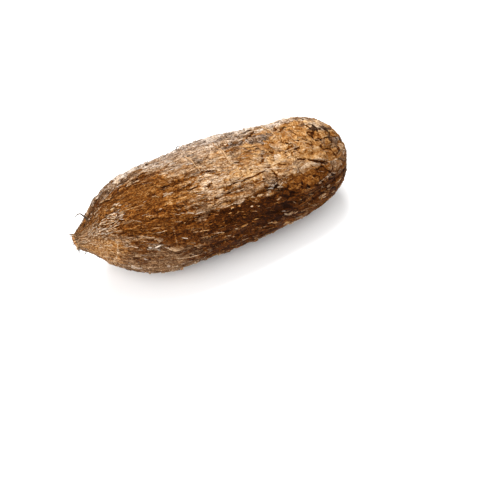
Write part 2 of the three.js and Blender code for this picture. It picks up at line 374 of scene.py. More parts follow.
def crease_height(along, angle):
    height = 0
    for at, start, end, slant in CREASES:
        share = (angle - start) / (end - start)
        off = along - at - slant * (share - 0.5) - CREASE_WANDER * noise(angle / 14, at, 3)
        fold = CREASE_HEIGHT * np.exp(-((off / CREASE_WIDTH) ** 2))
        height = height + fold * within(angle, start, end, CREASE_FADE)
    return height


def belly_wear(angle):
    """How much of the bark is left: all of it, but only a quarter where the root lies."""
    return 1 - BELLY_WEAR * ease((-np.cos(np.radians(angle)) - BELLY_DEPTH) / BELLY_BLEND)


def relief(along, radius, angle, loose):
    """Height of the CAD solid's bark above the smooth outline. Smooth bark has grown over its plates."""
    side, top = wrapped(angle)
    lump = LUMP_HEIGHT * noise(along / LUMP_SIZE + 7, side / LUMP_SIZE, top / LUMP_SIZE)
    wave = RIB_WAVE * noise(along / 21, side / 12, top / 12)
    rib = 1 - 2 * np.abs(noise(along / RIB_LENGTH, (side + wave) / RIB_WIDTH, (top - wave) / RIB_WIDTH))
    own, border = cells((along + wave) / PLATE_LENGTH, (side + wave) / PLATE_WIDTH, top / PLATE_WIDTH)
    crack = PLATE_CRACK * (1 - ease(border / PLATE_CRACK_WIDTH))
    plates_left = SMOOTH_PLATES + (1 - SMOOTH_PLATES) * loose
    bark = RIB_HEIGHT * rib + plates_left * (PLATE_STEP * (2 * own - 1) - crack)
    size = size_share(radius, BIG_FULL_RADIUS, BIG_LEAST)
    marks = crease_height(along, angle) + furrow_height(along, angle, radius) * np.sqrt(size)
    return lump * size + swell_height(along, angle, radius) + belly_wear(angle) * (size * bark + marks)


test_run = np.linspace(20, RUN - 20, 400)
test_height = relief(along_at(test_run), radius_at(test_run), 0 * test_run, 1)
print("the big relief on top runs from", test_height.min().round(1), "to", test_height.max().round(1), "mm")

# %% [markdown]
# ## Patches of the bark
#
# A root doesn't wear evenly. Its upper side is dusty and flaking, and some islands have lost their outer
# layer and shine golden. The lower front is painted a deep brown, partly its own darker bark and partly
# painted shade. Each patch is a soft oval that pulls the bark under it towards its own tone, warmth and
# looseness. Coarse noise tears its edge and fine noise frays it, so that no oval can be seen. An image could
# say the same, but a list can be read and changed by hand. The relief, the flakes and the colours all ask
# the same patches.

# %% Patches
# Tone from 0, soil, to 1, straw; warmth from 0, ash, to 1, gold; looseness from 0, smooth, to 1, flaking.
# A warmth above 1 stays golden where the colour's own noise would cool it.
WHOLE_BARK = (0.42, 0.62, 0.4)
PATCH_TORN, PATCH_FRAYED = 0.8, 0.45  # how far noise moves a border, and the share of fine noise in it
PATCH_REACH, PATCH_BLEND = 1.15, 0.4  # where a patch ends and how softly, in shares of its size
# Distance from the tail, angle, half length in mm, half width in degrees; then tone, warmth and looseness.
PATCHES = [
    (112, -46, 60, 34, 0.57, 0.25, 0.5),  # dusty upper back
    (122, -40, 10, 10, 0.76, 0.1, 0.5),
    (98, -12, 22, 12, 0.6, 0.4, 0.4),
    (174, -38, 36, 22, 0.8, 0.3, 0.9),
    (206, -38, 16, 24, 0.52, 0.6, 0.9),
    (50, 14, 42, 28, 0.32, 1.05, 0.2),  # orange brown towards the tail
    (34, -8, 25, 9, 0.2, 1.1, 0.4),
    (88, 24, 12, 15, 0.38, 1.1, 0.5),
    (118, 24, 36, 21, 0.59, 0.78, 0.9),  # pale crumpled ridges
    (178, 20, 36, 30, 0.56, 1.0, 0.3),
    (54, 46, 30, 14, 0.27, 1.15, 0.4),
    # Deep brown lower front: partly darker bark, partly painted shade.
    (100, 70, 50, 19, 0.08, 1.2, 0.2),  # deep brown lower front
    (158, 72, 24, 18, 0.12, 1.25, 0.2),
    (130, 84, 20, 13, 0.0, 1.35, 0.2),
    (66, 67, 20, 15, 0.18, 1.2, 0.1),
    (172, 58, 19, 11, 0.32, 1.15, 0.3),
    (126, 49, 44, 9, 0.4, 0.9, 0.8),
    (186, 96, 36, 26, 0.18, 0.95, 0.3),
    (54, 88, 48, 24, 0.27, 0.85, 0.15),  # dull underside
    (62, 102, 48, 22, 0.38, 0.55, 0.1),
    # Painted shade: darkest where the lower front turns under the root.
    (112, 103, 42, 24, 0.12, 1.05, 0.2),
    (12, -10, 13, 50, 0.34, 0.9, 0.7),  # the tail's cone
    (13, 76, 13, 34, 0.54, 0.85, 0.3),
    (8, 26, 9, 32, 0.5, 0.75, 0.6),
    (25, 18, 9, 13, 0.3, 0.9, 0.7),
    (40, -26, 19, 8, 0.26, 0.5, 0.7),
    (17, -22, 9, 11, 0.16, 0.85, 0.6),
    (32, -54, 24, 18, 0.27, 0.45, 0.95),
    (50, -34, 14, 8, 0.8, 0.2, 1.0),  # a pale lip on the shoulder
    (46, 7, 20, 13, 0.37, 1.1, 0.2),  # golden islands
    (70, 27, 12, 6, 0.5, 1.05, 0.15),
    (112, 8, 11, 12, 0.66, 0.75, 0.4),
    (80, 2, 12, 8, 0.54, 0.75, 0.4),
    (142, 29, 24, 12, 0.71, 0.9, 0.5),
    (141, 0, 8, 6, 0.64, 1.05, 0.3),
    (172, -3, 17, 9, 0.56, 1.05, 0.3),
    (201, 16, 10, 6, 0.6, 1.1, 0.2),
    (198, 41, 12, 10, 0.52, 1.15, 0.3),
    (172, 30, 8, 7, 0.64, 1.05, 0.1),
    (155, 40, 10, 8, 0.62, 0.8, 0.1),
    (169, 47, 8, 7, 0.62, 0.8, 0.1),
    (186, 8, 8, 7, 0.58, 1.1, 0.1),
    (182, 34, 8, 8, 0.64, 1.15, 0.2),
    (204, -13, 14, 17, 0.72, 0.8, 0.3),
    (213, 18, 7, 34, 0.52, 1.05, 0.4),
    (128, 16, 7, 5, 0.54, 0.85, 0.2),
    (130, -7, 9, 5, 0.36, 0.1, 0.2),  # grey and dark slabs
    (150, -5, 10, 4, 0.4, 0.3, 0.5),
    (196, 5, 9, 4.5, 0.14, 0.45, 0.6),
    (202, 26, 10, 5, 0.18, 0.4, 0.6),
    (143, 50, 4, 6, 0.4, 0.4, 0.9),
    (46, 73, 6, 5, 0.33, 0.45, 0.5),
    (208, 64, 9, 8, 0.44, 0.85, 0.4),
    (60, -112, 44, 26, 0.44, 0.45, 0.5),  # the far side
    (128, -122, 52, 30, 0.5, 0.4, 0.8),
    (194, -92, 28, 30, 0.46, 0.85, 0.3),
    (108, -88, 24, 14, 0.42, 0.95, 0.3),
    (184, -152, 30, 24, 0.26, 0.85, 0.5),
    (72, -150, 34, 22, 0.26, 0.95, 0.3),
    (164, -142, 14, 9, 0.56, 0.5, 0.9),
    (24, -120, 18, 40, 0.4, 0.75, 0.4),
    (176, 140, 34, 24, 0.3, 0.9, 0.5),  # the underside
    (118, 150, 44, 20, 0.18, 0.85, 0.3),
    (40, 150, 26, 26, 0.36, 0.55, 0.4),
    (100, 180, 60, 20, 0.26, 0.6, 0.2),
    (209, 180, 15, 60, 0.42, 0.7, 0.4),
]


def finish_at(along, angle):
    """Tone, warmth and looseness of the bark at each place."""
    side, top = wrapped(angle)
    frayed = PATCH_FRAYED * noise(along / 3, side / 1.3, top / 1.3)
    torn = [layered(along / 12 + shift, side / 6 - shift, top / 6, 4) + frayed for shift in (0, 31, 67)]
    finish = [np.full(np.shape(along), value) for value in WHOLE_BARK]
    for n, (at, at_angle, length, width, *own) in enumerate(PATCHES):
        gap = np.hypot((along - at) / length, turn_between(angle, at_angle) / width)
        strength = ease((PATCH_REACH - (gap + PATCH_TORN * torn[n % 3])) / PATCH_BLEND)
        finish = [value + strength * (target - value) for value, target in zip(finish, own)]
    return finish


finish_on_top = finish_at(np.array([LENGTH / 2]), np.zeros(1))
print(len(PATCHES), "patches; the bark on top has", [round(float(value[0]), 2) for value in finish_on_top])

# %% [markdown]
# ## The fine relief
#
# Close up, the bark is made of layers. Where one ends it has torn: the upper layer curls up in a lip, and a
# groove runs along its foot. The lip is painted paler and the groove darker, partly for dust and soil and
# partly as painted highlight and painted shade. Ridges and wrinkles follow the grain between the tears,
# crumpled where the bark is loose and fine where it is smooth. Sculpting each would never end, so noise is
# stretched along the grain instead. The grain is drawn together where the root narrows, leans a little round
# the root on the front, is long at the tail and short at the neck, as in a real one.

# %% Grain
GRAIN_PINCH = 0.6  # how much of the grain is drawn together at the ends: 0 all of it, 1 none
GRAIN_LEAN, LEAN_ANGLE = 0.2, 75  # slope that the grain gains where it leans most, and where that is
STEADY_LEAN = 0.2  # share of that slope that the grain has all round
NECK_START, NECK_FULL = 112, 150  # where the neck's short grain and small plates begin, and are full
NECK_SHORTER = 0.8  # how much shorter the grain is at the neck: 1 is half as long
TAIL_END = 45  # where the tail's long grain ends
TAIL_LONGER, TAIL_BLEND = 0.8, 15  # together they make it four times as long at the tail's tip


def lean_at(angle):
    """Slope of the grain round the root, towards bigger angles on the way to the neck."""
    return GRAIN_LEAN * (STEADY_LEAN + np.cos(np.radians(angle - LEAN_ANGLE)))


def grain_at(run, angle, radius):
    """Coordinates in mm that the bark's grain follows: along the root, and two across it."""
    turn = np.radians(angle) - lean_at(angle) * (run - RUN / 2) / GIRTH_RADIUS
    wide = GIRTH_RADIUS * (radius / GIRTH_RADIUS) ** GRAIN_PINCH
    side, top = wide * np.sin(turn), wide * np.cos(turn)
    sway = 2.4 * noise(run / 26, side / 16, top / 16 + 5) + 0.8 * noise(run / 8, side / 6, top / 6 + 9)
    past_start, to_end = np.maximum(0, run - NECK_START), np.maximum(0, TAIL_END - run)
    along = run + NECK_SHORTER * past_start**2 / (past_start + NECK_FULL - NECK_START)
    along = along + TAIL_LONGER * to_end**2 / (to_end + TAIL_BLEND)
    return along, side + sway * np.cos(turn), top - sway * np.sin(turn)


print("the grain leans by", lean_at(np.array([0, LEAN_ANGLE, 180])).round(2), "on top, in front and below")

# %% Torn layers and ridges
BIG_TEAR, SMALL_TEAR = (14, 3.4), (6, 1.7)  # length and width of the tears
TEAR_STEP, TEAR_LIP, TEAR_GROOVE = 0.4, 0.35, 0.35
TEAR_LINE = 0.5  # width of a lip or a groove


def ridged(x, y, z, octaves=2):
    """Noise folded into sharp ridges, from -1 in the valleys to 1 on the ridges."""
    return 1 - 2 * np.abs(layered(x, y, z, octaves))


def tears(grain, size, seed):
    """Height, lips and grooves of torn layers of one size. Lips and grooves go from 0 to 1."""
    along, side, top = grain
    length, width = size
    field = layered(along / length + seed, side / width, top / width, 3)
    patchy = noise(along / (1.5 * length) + seed, side / (2.2 * width), top / (2.2 * width))
    strong = ease(0.55 + 1.2 * patchy)
    line = TEAR_LINE / width
    lip = strong * np.exp(-((field / line - 1) ** 2))
    groove = strong * np.exp(-((field / line + 0.8) ** 2))
    step = TEAR_STEP * strong * (ease(0.5 + 0.7 * field / line) - 0.5)
    return step + TEAR_LIP * lip - TEAR_GROOVE * groove, lip, groove


_, test_lip, _ = tears(grain_at(test_run, 0.0, radius_at(test_run)), BIG_TEAR, 60)
print("lips of big tears cover", round(100 * float((test_lip > 0.5).mean())), "% of a line along the top")


# %% [markdown]
# ## Small plates and single marks
#
# Near the neck the golden bark breaks into small plates with cracks between them, less so on the far side.
# Cells make these, as each plate needs a border all round. The long cracks and the few bands that run across
# the root are what the eye finds first, so each of them is listed one by one.

# %% Small plates
SMALL_PLATE = (10, 7.5)  # length and width
SMALL_PLATE_STEP, SMALL_PLATE_CRACK, SMALL_CRACK_WIDTH = 0.4, 0.5, 0.2
SMALL_PLATE_WAVE = 1.6  # how far the plates' borders waver
FAR_SIDE = 30  # how far sideways the less broken far side begins
CRACKED, FAR_LESS, CRACKED_CHANGE = 0.95, 2, 1.2  # how open cracks are, less so far away, and how varied


def small_plates(along, side, top):
    """Own number from 0 to 1 of each small plate, and the cracks between them from 0 to 1."""
    wave = SMALL_PLATE_WAVE * layered(along / 7, side / 5, top / 5, 2)
    length, width = SMALL_PLATE
    own, border = cells((along + wave) / length, (side + wave) / width, (top - wave) / width)
    far = np.minimum(0, side + FAR_SIDE) / GIRTH_RADIUS
    broken = ease(CRACKED + FAR_LESS * far + CRACKED_CHANGE * noise(along / 6, side / 5, top / 5))
    return own, broken * (1 - ease(border / SMALL_CRACK_WIDTH))


def neck_share(along):
    """0 up to where the neck's small plates begin, and 1 where they are full."""
    return ease((along - NECK_START) / (NECK_FULL - NECK_START))


def plates_at(along, warmth):
    """How much golden bark at the neck breaks into smooth small plates, from 0 to 1."""
    return neck_share(along) * ease((warmth - 0.6) / 0.3)


def detail_at(along, warmth, loose):
    """How strongly the grain is drawn in the bark's colour: less on small plates, more at the tail."""
    return 1 - 0.25 * plates_at(along, warmth) + 0.08 * loose + 0.35 * ease(1 - along / TAIL_END)


_, test_crack = small_plates(test_run, *wrapped(0 * test_run))
print("cracks could cover", round(100 * float((test_crack > 0.5).mean())), "% of a line along the top")

# %% Single marks
MARK_WANDER = 1.1  # how far a mark strays sideways
# Single marks: from a place and angle to a place and angle, width, and height (below 0 for a crack).
MARKS = [
    (164, 33, 174, 37, 0.6, -0.8),
    (176, 39, 191, 54, 0.9, -1.5),
    (145, 38, 150, 45, 0.6, -0.8),
    (79, 23, 98, 29, 0.5, -0.9),
    (92, 33, 99, 27, 0.5, -0.8),
    (96, 13, 107, 18, 0.5, -0.8),
    (111, 36, 141, 35, 0.5, -0.9),
    (60, 9, 82, 17, 0.5, -0.5),
    (103, 41, 116, 44, 0.6, -0.7),
    (192, 19, 196, 29, 0.7, -0.9),
    (184, 24, 192, 20, 0.6, -0.9),
    (178, 15, 184, 19, 0.6, -0.8),
    (184, 6, 191, 10, 0.7, -0.8),
    (160, 12, 168, 14, 0.5, -0.6),
    (170, -6, 179, -4, 0.6, -0.7),
    (176, -2, 177, 13, 0.5, -0.6),
    (61, 52, 60, 82, 0.6, 0.5),
    (81.5, 54, 80.5, 84, 0.6, 0.5),
    (25, 42, 19, 112, 0.6, 0.35),
    (120, 62, 121, 84, 0.6, 0.2),
    (112, -96, 131, -108, 0.8, -1.3),
    (60, -84, 78, -88, 0.6, -0.8),
    (158, -70, 172, -66, 0.7, -1.0),
    (176, -118, 192, -126, 0.8, -1.2),
    (88, 128, 104, 134, 0.8, -1.0),
    (150, 118, 166, 112, 0.8, -1.2),
    (96, -66, 97, -40, 0.6, 0.25),
    (148, -112, 146, -80, 0.6, 0.25),
]


def mark_height(along, angle, radius):
    """Height of the listed marks. Each is widest in its middle."""
    height = 0
    for start, start_angle, end, end_angle, width, top in MARKS:
        x, y = along - start, np.radians(turn_between(angle, start_angle)) * radius
        y = y + MARK_WANDER * noise(along / 3.3, angle / 8, start)
        far_x, far_y = end - start, np.radians(end_angle - start_angle) * radius
        share = np.clip((x * far_x + y * far_y) / (far_x**2 + far_y**2), 0, 1)
        off = np.hypot(x - share * far_x, y - share * far_y) / (width * (0.5 + 2 * share * (1 - share)))
        height = height + top * np.exp(-(off**2))
    return height


print(len(MARKS), "marks,", sum(mark[-1] < 0 for mark in MARKS), "of them cracks")

# %% All layers of the bark
RIDGE_HEIGHT, WRINKLE_HEIGHT, CRUMPLE_HEIGHT, KNOB_HEIGHT = 0.28, 0.16, 0.24, 0.6
FINE_FULL_RADIUS, FINE_LEAST = 15, 0.45  # radius from which the fine relief is full, and its least share
PLATE_TONE, PLATE_WARMTH = 0.24, 0.5  # how far one small plate's colour lies from another's


def bark_layers(run, angle, radius):
    """Fine height of the bark and the masks that its colours follow, each an array over the places."""
    along_root = along_at(run)
    grain = grain_at(run, angle, radius)
    along, side, top = grain
    tone, warmth, loose = finish_at(along_root, angle)
    big, big_lip, big_groove = tears(grain, BIG_TEAR, 60)
    small, small_lip, small_groove = tears(grain, SMALL_TEAR, 20)
    ridge = ridged(along / 13, side / 2.5, top / 2.5)
    wrinkle = ridged(along / 5.5, side / 1.2, top / 1.2)
    crumple = ridged(along / 5.5 + 50, side / 1.8, top / 1.8, 3)
    knob = np.maximum(0, layered(along / 8 + 20, side / 3.4, top / 3.4, 2))
    marks = mark_height(along_root, angle, radius)
    plate, crack = small_plates(run, side, top)
    neck = neck_share(along_root) * (0.75 + 0.25 * loose)
    calm = 1 - 0.5 * plates_at(along_root, warmth)  # small plates are smooth
    rough = 0.2 + 0.8 * loose
    height = (
        (0.1 + 0.75 * loose) * big
        + 0.6 * calm * rough * small
        + RIDGE_HEIGHT * calm * rough * ridge
        + WRINKLE_HEIGHT * calm * (1 - 0.4 * loose) * wrinkle
        + CRUMPLE_HEIGHT * loose * crumple
        + KNOB_HEIGHT * loose**2 * knob
        + neck * (SMALL_PLATE_STEP * (plate - 0.5) - SMALL_PLATE_CRACK * crack)
        + marks
    )
    # Lips paint the bark paler and grooves and cracks darker: partly dust and soil, partly painted highlight
    # and shade.
    lip = np.maximum((0.1 + 0.9 * loose) * big_lip, (0.1 + 0.8 * loose) * small_lip)
    groove = np.maximum((0.15 + 0.85 * loose) * big_groove, (0.15 + 0.75 * loose) * small_groove)
    masks = {
        "tone": tone + PLATE_TONE * neck * (plate - 0.5),
        "warmth": warmth + PLATE_WARMTH * neck * (plate * 7 % 1 - 0.5),
        "detail": detail_at(along_root, warmth, loose),
        "loose": loose,
        "lip": np.maximum(lip, np.clip(2 * marks, 0, 0.6)),
        "groove": np.maximum(np.maximum(0.55 * calm * groove, neck * crack), np.clip(-2 * marks, 0, 1)),
    }
    size = size_share(radius, FINE_FULL_RADIUS, FINE_LEAST)
    return size * belly_wear(angle) * height, masks, grain


# %% [markdown]
# ## The skin
#
# The skin is made of rings of points from the hollow of the snapped tail, over the bark, to the scar at the
# neck. The rings lie closer together where the root is thin. A plain cylinder with a displacement on it
# would be quicker, but here each point's height is known, so loose bark can be laid on it later. Points that
# would lie under the table are lifted onto it, which gives the root the flat that it is worn to.

# %% Skin grid
RINGS = 316
AROUND = 580
RING_CROWDING = -0.35  # power of the thickness that the rings' density follows; 0 spaces them evenly


def ring_places(count):
    """Distances over the bark of the rings, with a ring's spacing growing with the root's thickness."""
    fine_run = np.linspace(0, RUN, 2000)
    density = (radius_at(fine_run) / GIRTH_RADIUS) ** RING_CROWDING
    share = np.concatenate([[0], np.cumsum((density[1:] + density[:-1]) / 2)])
    return np.interp(np.linspace(0, 1, count), share / share[-1], fine_run)


def soften(grid, rings, around):
    """A grid of values blurred along and around the root, over that many points each way."""
    out = grid
    for axis, reach in ((0, rings), (1, around)):
        total = out.copy()
        for step in range(1, reach + 1):
            if axis == 1:
                total = total + np.roll(out, step, 1) + np.roll(out, -step, 1)
            else:
                ahead = np.concatenate([out[step:], np.repeat(out[-1:], step, 0)])
                behind = np.concatenate([np.repeat(out[:1], step, 0), out[:-step]])
                total = total + ahead + behind
        out = total / (2 * reach + 1)
    return out


ring_runs = ring_places(RINGS)
ring_angles = np.linspace(-180, 180, AROUND, endpoint=False)
run_grid, angle_grid = np.meshgrid(ring_runs, ring_angles, indexing="ij")
along_grid, radius_grid = along_at(run_grid), radius_at(run_grid)
fine, masks, grain = bark_layers(run_grid, angle_grid, radius_grid)
height_grid = relief(along_grid, radius_grid, angle_grid, masks["loose"]) + fine
# the material paints shade into the hollows and light onto raised places from this
hollow_grid = height_grid - soften(height_grid, 3, 6)  # above or below its surroundings, within 3 mm
bed_grid = soften(height_grid, 1, 4)  # what a flake of paper lies on
skin_grid = place(along_grid, radius_grid, slope_at(run_grid), angle_grid, height_grid)
print("fine relief from", round(float(fine.min()), 2), "to", round(float(fine.max()), 2), "mm")

# %% The two hollow ends
CUP_RINGS = 6
TAIL_CUP, TAIL_CUP_RADII = 1.6, (0.3, 4.1)  # depth, and radius of the first and the last ring
SCAR_DEPTH, SCAR_RADII = 1.8, (7.6, 0.4)
SPLINTERS = 0.35  # how rough the broken wood is


def cup_rings(outer, rim, depth, radii, seed):
    """Rings of points between a rim of the skin and the middle of the hollow at that end."""
    centre = outer.mean(0)
    rings = []
    for radius in np.linspace(*radii, CUP_RINGS):
        share = radius / rim
        ring = centre + (outer - centre) * share
        ring[:, 0] += depth * (1 - share**2) + SPLINTERS * noise(ring[:, 1] / 0.7, ring[:, 2] / 0.7, seed)
        rings.append(ring)
    return np.stack(rings)


tail_rings = cup_rings(skin_grid[0], TAIL_EDGE, TAIL_CUP, TAIL_CUP_RADII, 3)
neck_rings = cup_rings(skin_grid[-1], NECK_EDGE, -SCAR_DEPTH, SCAR_RADII, 8)
all_rings = np.concatenate([tail_rings, skin_grid, neck_rings])
all_rings[..., 2] = np.maximum(all_rings[..., 2], 0)
print(all_rings.shape[0], "rings of", all_rings.shape[1], "points")

# %% [markdown]
# ## From points to pieces
#
# Every piece of the root is made the same way: points and faces go into a mesh, values that the material
# reads go onto the points, and a flat map keeps each face's own place, so that the colours can be baked
# without wasted space. An automatic unwrapping would do too, but a tube or a flake has an obvious flat map,
# and squares of a larger square hold as many of them as a piece has. The finished piece rides with the root.


# %% Pieces and tubes
def make_piece(name, points, faces, flat, material, values, vectors):
    """A mesh object that rides with the root, with values and vectors on its points for the material."""
    mesh = bpy.data.meshes.new(name)
    mesh.from_pydata((points * MM).tolist(), [], faces)
    kinds = (("FLOAT", "value", values), ("FLOAT_VECTOR", "vector", vectors))
    for kind, field, layers in kinds:
        for key, data in layers.items():
            layer = mesh.attributes.new(key, kind, "POINT")
            layer.data.foreach_set(field, np.asarray(data, np.float32).ravel())
    flat_map = mesh.uv_layers.new(name="OFBake")
    flat_map.data.foreach_set("uv", np.asarray(flat, np.float32).ravel())
    mesh.shade_smooth()
    mesh.materials.append(material)
    piece = bpy.data.objects.new(name, mesh)
    bpy.context.collection.objects.link(piece)
    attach(piece, "root")
    triangles = sum(len(face) - 2 for face in faces)
    print(name, "has", len(points), "points and", triangles, "triangles")
    return piece


def tube(rings, around):
    """Faces of a closed tube of rings with a point at each end, and every corner's place on a flat map."""
    row, column = (v.ravel() for v in np.meshgrid(np.arange(rings - 1), np.arange(around), indexing="ij"))
    rows = np.stack([row, row, row + 1, row + 1], -1)
    columns = np.stack([column, column + 1, column + 1, column], -1)
    sides = rows * around + columns % around
    n = np.arange(around)
    following, last, hub = (n + 1) % around, (rings - 1) * around, np.full(around, rings * around)
    first_fan = np.stack([n, hub, following], -1)
    last_fan = np.stack([last + n, last + following, hub + 1], -1)
    bottom, low, high = np.zeros(around), np.ones(around), np.full(around, rings)
    side_map = np.stack([columns, rows + 1], -1).reshape(-1, 2)
    first_map = np.stack([n, low, n + 0.5, bottom, n + 1, low], -1).reshape(-1, 2)
    last_map = np.stack([n, high, n + 1, high, n + 0.5, high + 1], -1).reshape(-1, 2)
    flat = np.concatenate([side_map, first_map, last_map]) / (around, rings + 1)
    return sides.tolist() + first_fan.tolist() + last_fan.tolist(), flat


def in_cell(flat, n, count):
    """A flat map moved into the n-th cell of a square map that is shared by that many parts."""
    across = math.ceil(math.sqrt(count))
    corner = np.stack([n % across, n // across], -1)
    return (flat * 0.94 + 0.03 + corner) / across


# %% [markdown]
# ## The bark's colours
#
# Bark colour has a reason at every point. Fresh flakes are tan and older bark is orange brown. Cracks,
# grooves and hollows are painted darker and warmer, partly for soil and partly as painted shade, and ridges
# and lips
# are painted paler, partly for dust and partly as painted highlight. So the material doesn't paint a
# picture:
# it reads the same masks that shaped the bark, adds streaks that follow the grain, and looks the sum up in
# three ramps from soil to straw, for ashy, plain and golden bark. Smooth bark has long faint streaks as
# well.
# A painted texture could look as good from one side, but this holds all round and at any distance.


# %% A short way to write material nodes
def srgb(red, green, blue):
    """A linear colour from the usual 0 to 255 numbers."""
    share = np.array([red, green, blue]) / 255
    linear = np.where(share <= 0.04045, share / 12.92, ((share + 0.055) / 1.055) ** 2.4)
    return (*linear.tolist(), 1.0)


print("half of white light is", round(srgb(188, 188, 188)[0], 2), "in a material and 188 of 255 on screen")


class Recipe:
    """Builds one material. Each step adds a node and gives back its output, ready for the next step."""

    def __init__(self, name):
        self.material = bpy.data.materials.new(name)
        self.material.use_nodes = True
        self.tree = self.material.node_tree
        self.shader = self.tree.nodes["Principled BSDF"]

    def join(self, value, socket):
        """Links an output to a socket, or sets the socket if the value is a plain number or colour."""
        if isinstance(value, bpy.types.NodeSocket):
            self.tree.links.new(value, socket)
        else:
            socket.default_value = value

    def attribute(self, name, part="Fac"):
        node = self.tree.nodes.new("ShaderNodeAttribute")
        node.attribute_name = name
        return node.outputs[part]

    def position(self):
        """The place in the piece itself, in metres."""
        return self.tree.nodes.new("ShaderNodeTexCoord").outputs["Object"]

    def maths(self, operation, *values):
        node = self.tree.nodes.new("ShaderNodeMath")
        node.operation = operation
        for value, socket in zip(values, node.inputs):
            self.join(value, socket)
        return node.outputs[0]

    def add(self, *parts):
        """Sum of (output, weight) pairs."""
        total = 0.0
        for value, weight in parts:
            total = self.maths("MULTIPLY_ADD", value, weight, total)
        return total

    def away_from(self, middle, value):
        """How far the value lies from the middle, on either side."""
        return self.maths("ABSOLUTE", self.add((value, 1.0), (middle, -1.0)))

    def noise(self, place, waves, detail=3.0, roughness=0.6, distortion=0.0):
        """Noise of the place, with that many waves to its unit each way."""
        stretch = self.tree.nodes.new("ShaderNodeVectorMath")
        stretch.operation = "MULTIPLY"
        self.join(place, stretch.inputs[0])
        self.join(waves, stretch.inputs[1])
        node = self.tree.nodes.new("ShaderNodeTexNoise")
        self.join(stretch.outputs[0], node.inputs["Vector"])
        self.join(1.0, node.inputs["Scale"])
        self.join(detail, node.inputs["Detail"])
        self.join(roughness, node.inputs["Roughness"])
        self.join(distortion, node.inputs["Distortion"])
        return node.outputs["Fac"]

    def between(self, value, low, high, to_low=0.0, to_high=1.0):
        """The value's place between low and high, eased, as a number between to_low and to_high."""
        node = self.tree.nodes.new("ShaderNodeMapRange")
        node.interpolation_type = "SMOOTHSTEP"
        for number, socket in zip((value, low, high, to_low, to_high), node.inputs):
            self.join(number, socket)
        return node.outputs[0]

    def ramp(self, value, stops):
        node = self.tree.nodes.new("ShaderNodeValToRGB")
        self.join(value, node.inputs[0])
        elements = node.color_ramp.elements
        while len(elements) < len(stops):
            elements.new(0.5)
        for element, (at, colour) in zip(elements, stops):
            element.position = at
            element.color = colour
        return node.outputs["Color"]

    def blend(self, share, first, second):
        node = self.tree.nodes.new("ShaderNodeMix")
        node.data_type = "RGBA"
        self.join(share, node.inputs[0])
        self.join(first, node.inputs[6])
        self.join(second, node.inputs[7])
        return node.outputs[2]

    def bump(self, height, distance):
        node = self.tree.nodes.new("ShaderNodeBump")
        self.join(height, node.inputs["Height"])
        self.join(distance, node.inputs["Distance"])
        return node.outputs[0]

    def finish(self, **sockets):
        """Sets the shader's sockets, named with _ for a space."""
        for name, value in sockets.items():
            self.join(value, self.shader.inputs[name.replace("_", " ")])
        print("material", self.material.name, "has", len(self.tree.nodes), "nodes")
        return self.material


# %% Bark material
# Six colours each from dark to light: of dusty, of plain and of golden bark.
ASH_COLOURS = [(36, 25, 17), (64, 47, 35), (98, 76, 60), (138, 114, 96), (178, 156, 138), (220, 204, 188)]
TAN_COLOURS = [(34, 17, 6), (66, 37, 15), (102, 70, 44), (144, 110, 78), (186, 152, 118), (226, 198, 168)]
GOLD_COLOURS = [(34, 12, 1), (62, 27, 3), (103, 54, 12), (147, 93, 38), (186, 138, 84), (222, 186, 140)]
DRY_WOOD = srgb(205, 170, 128)
SPLIT_WOOD = srgb(214, 140, 74)
DARK_WOOD = srgb(74, 38, 14)


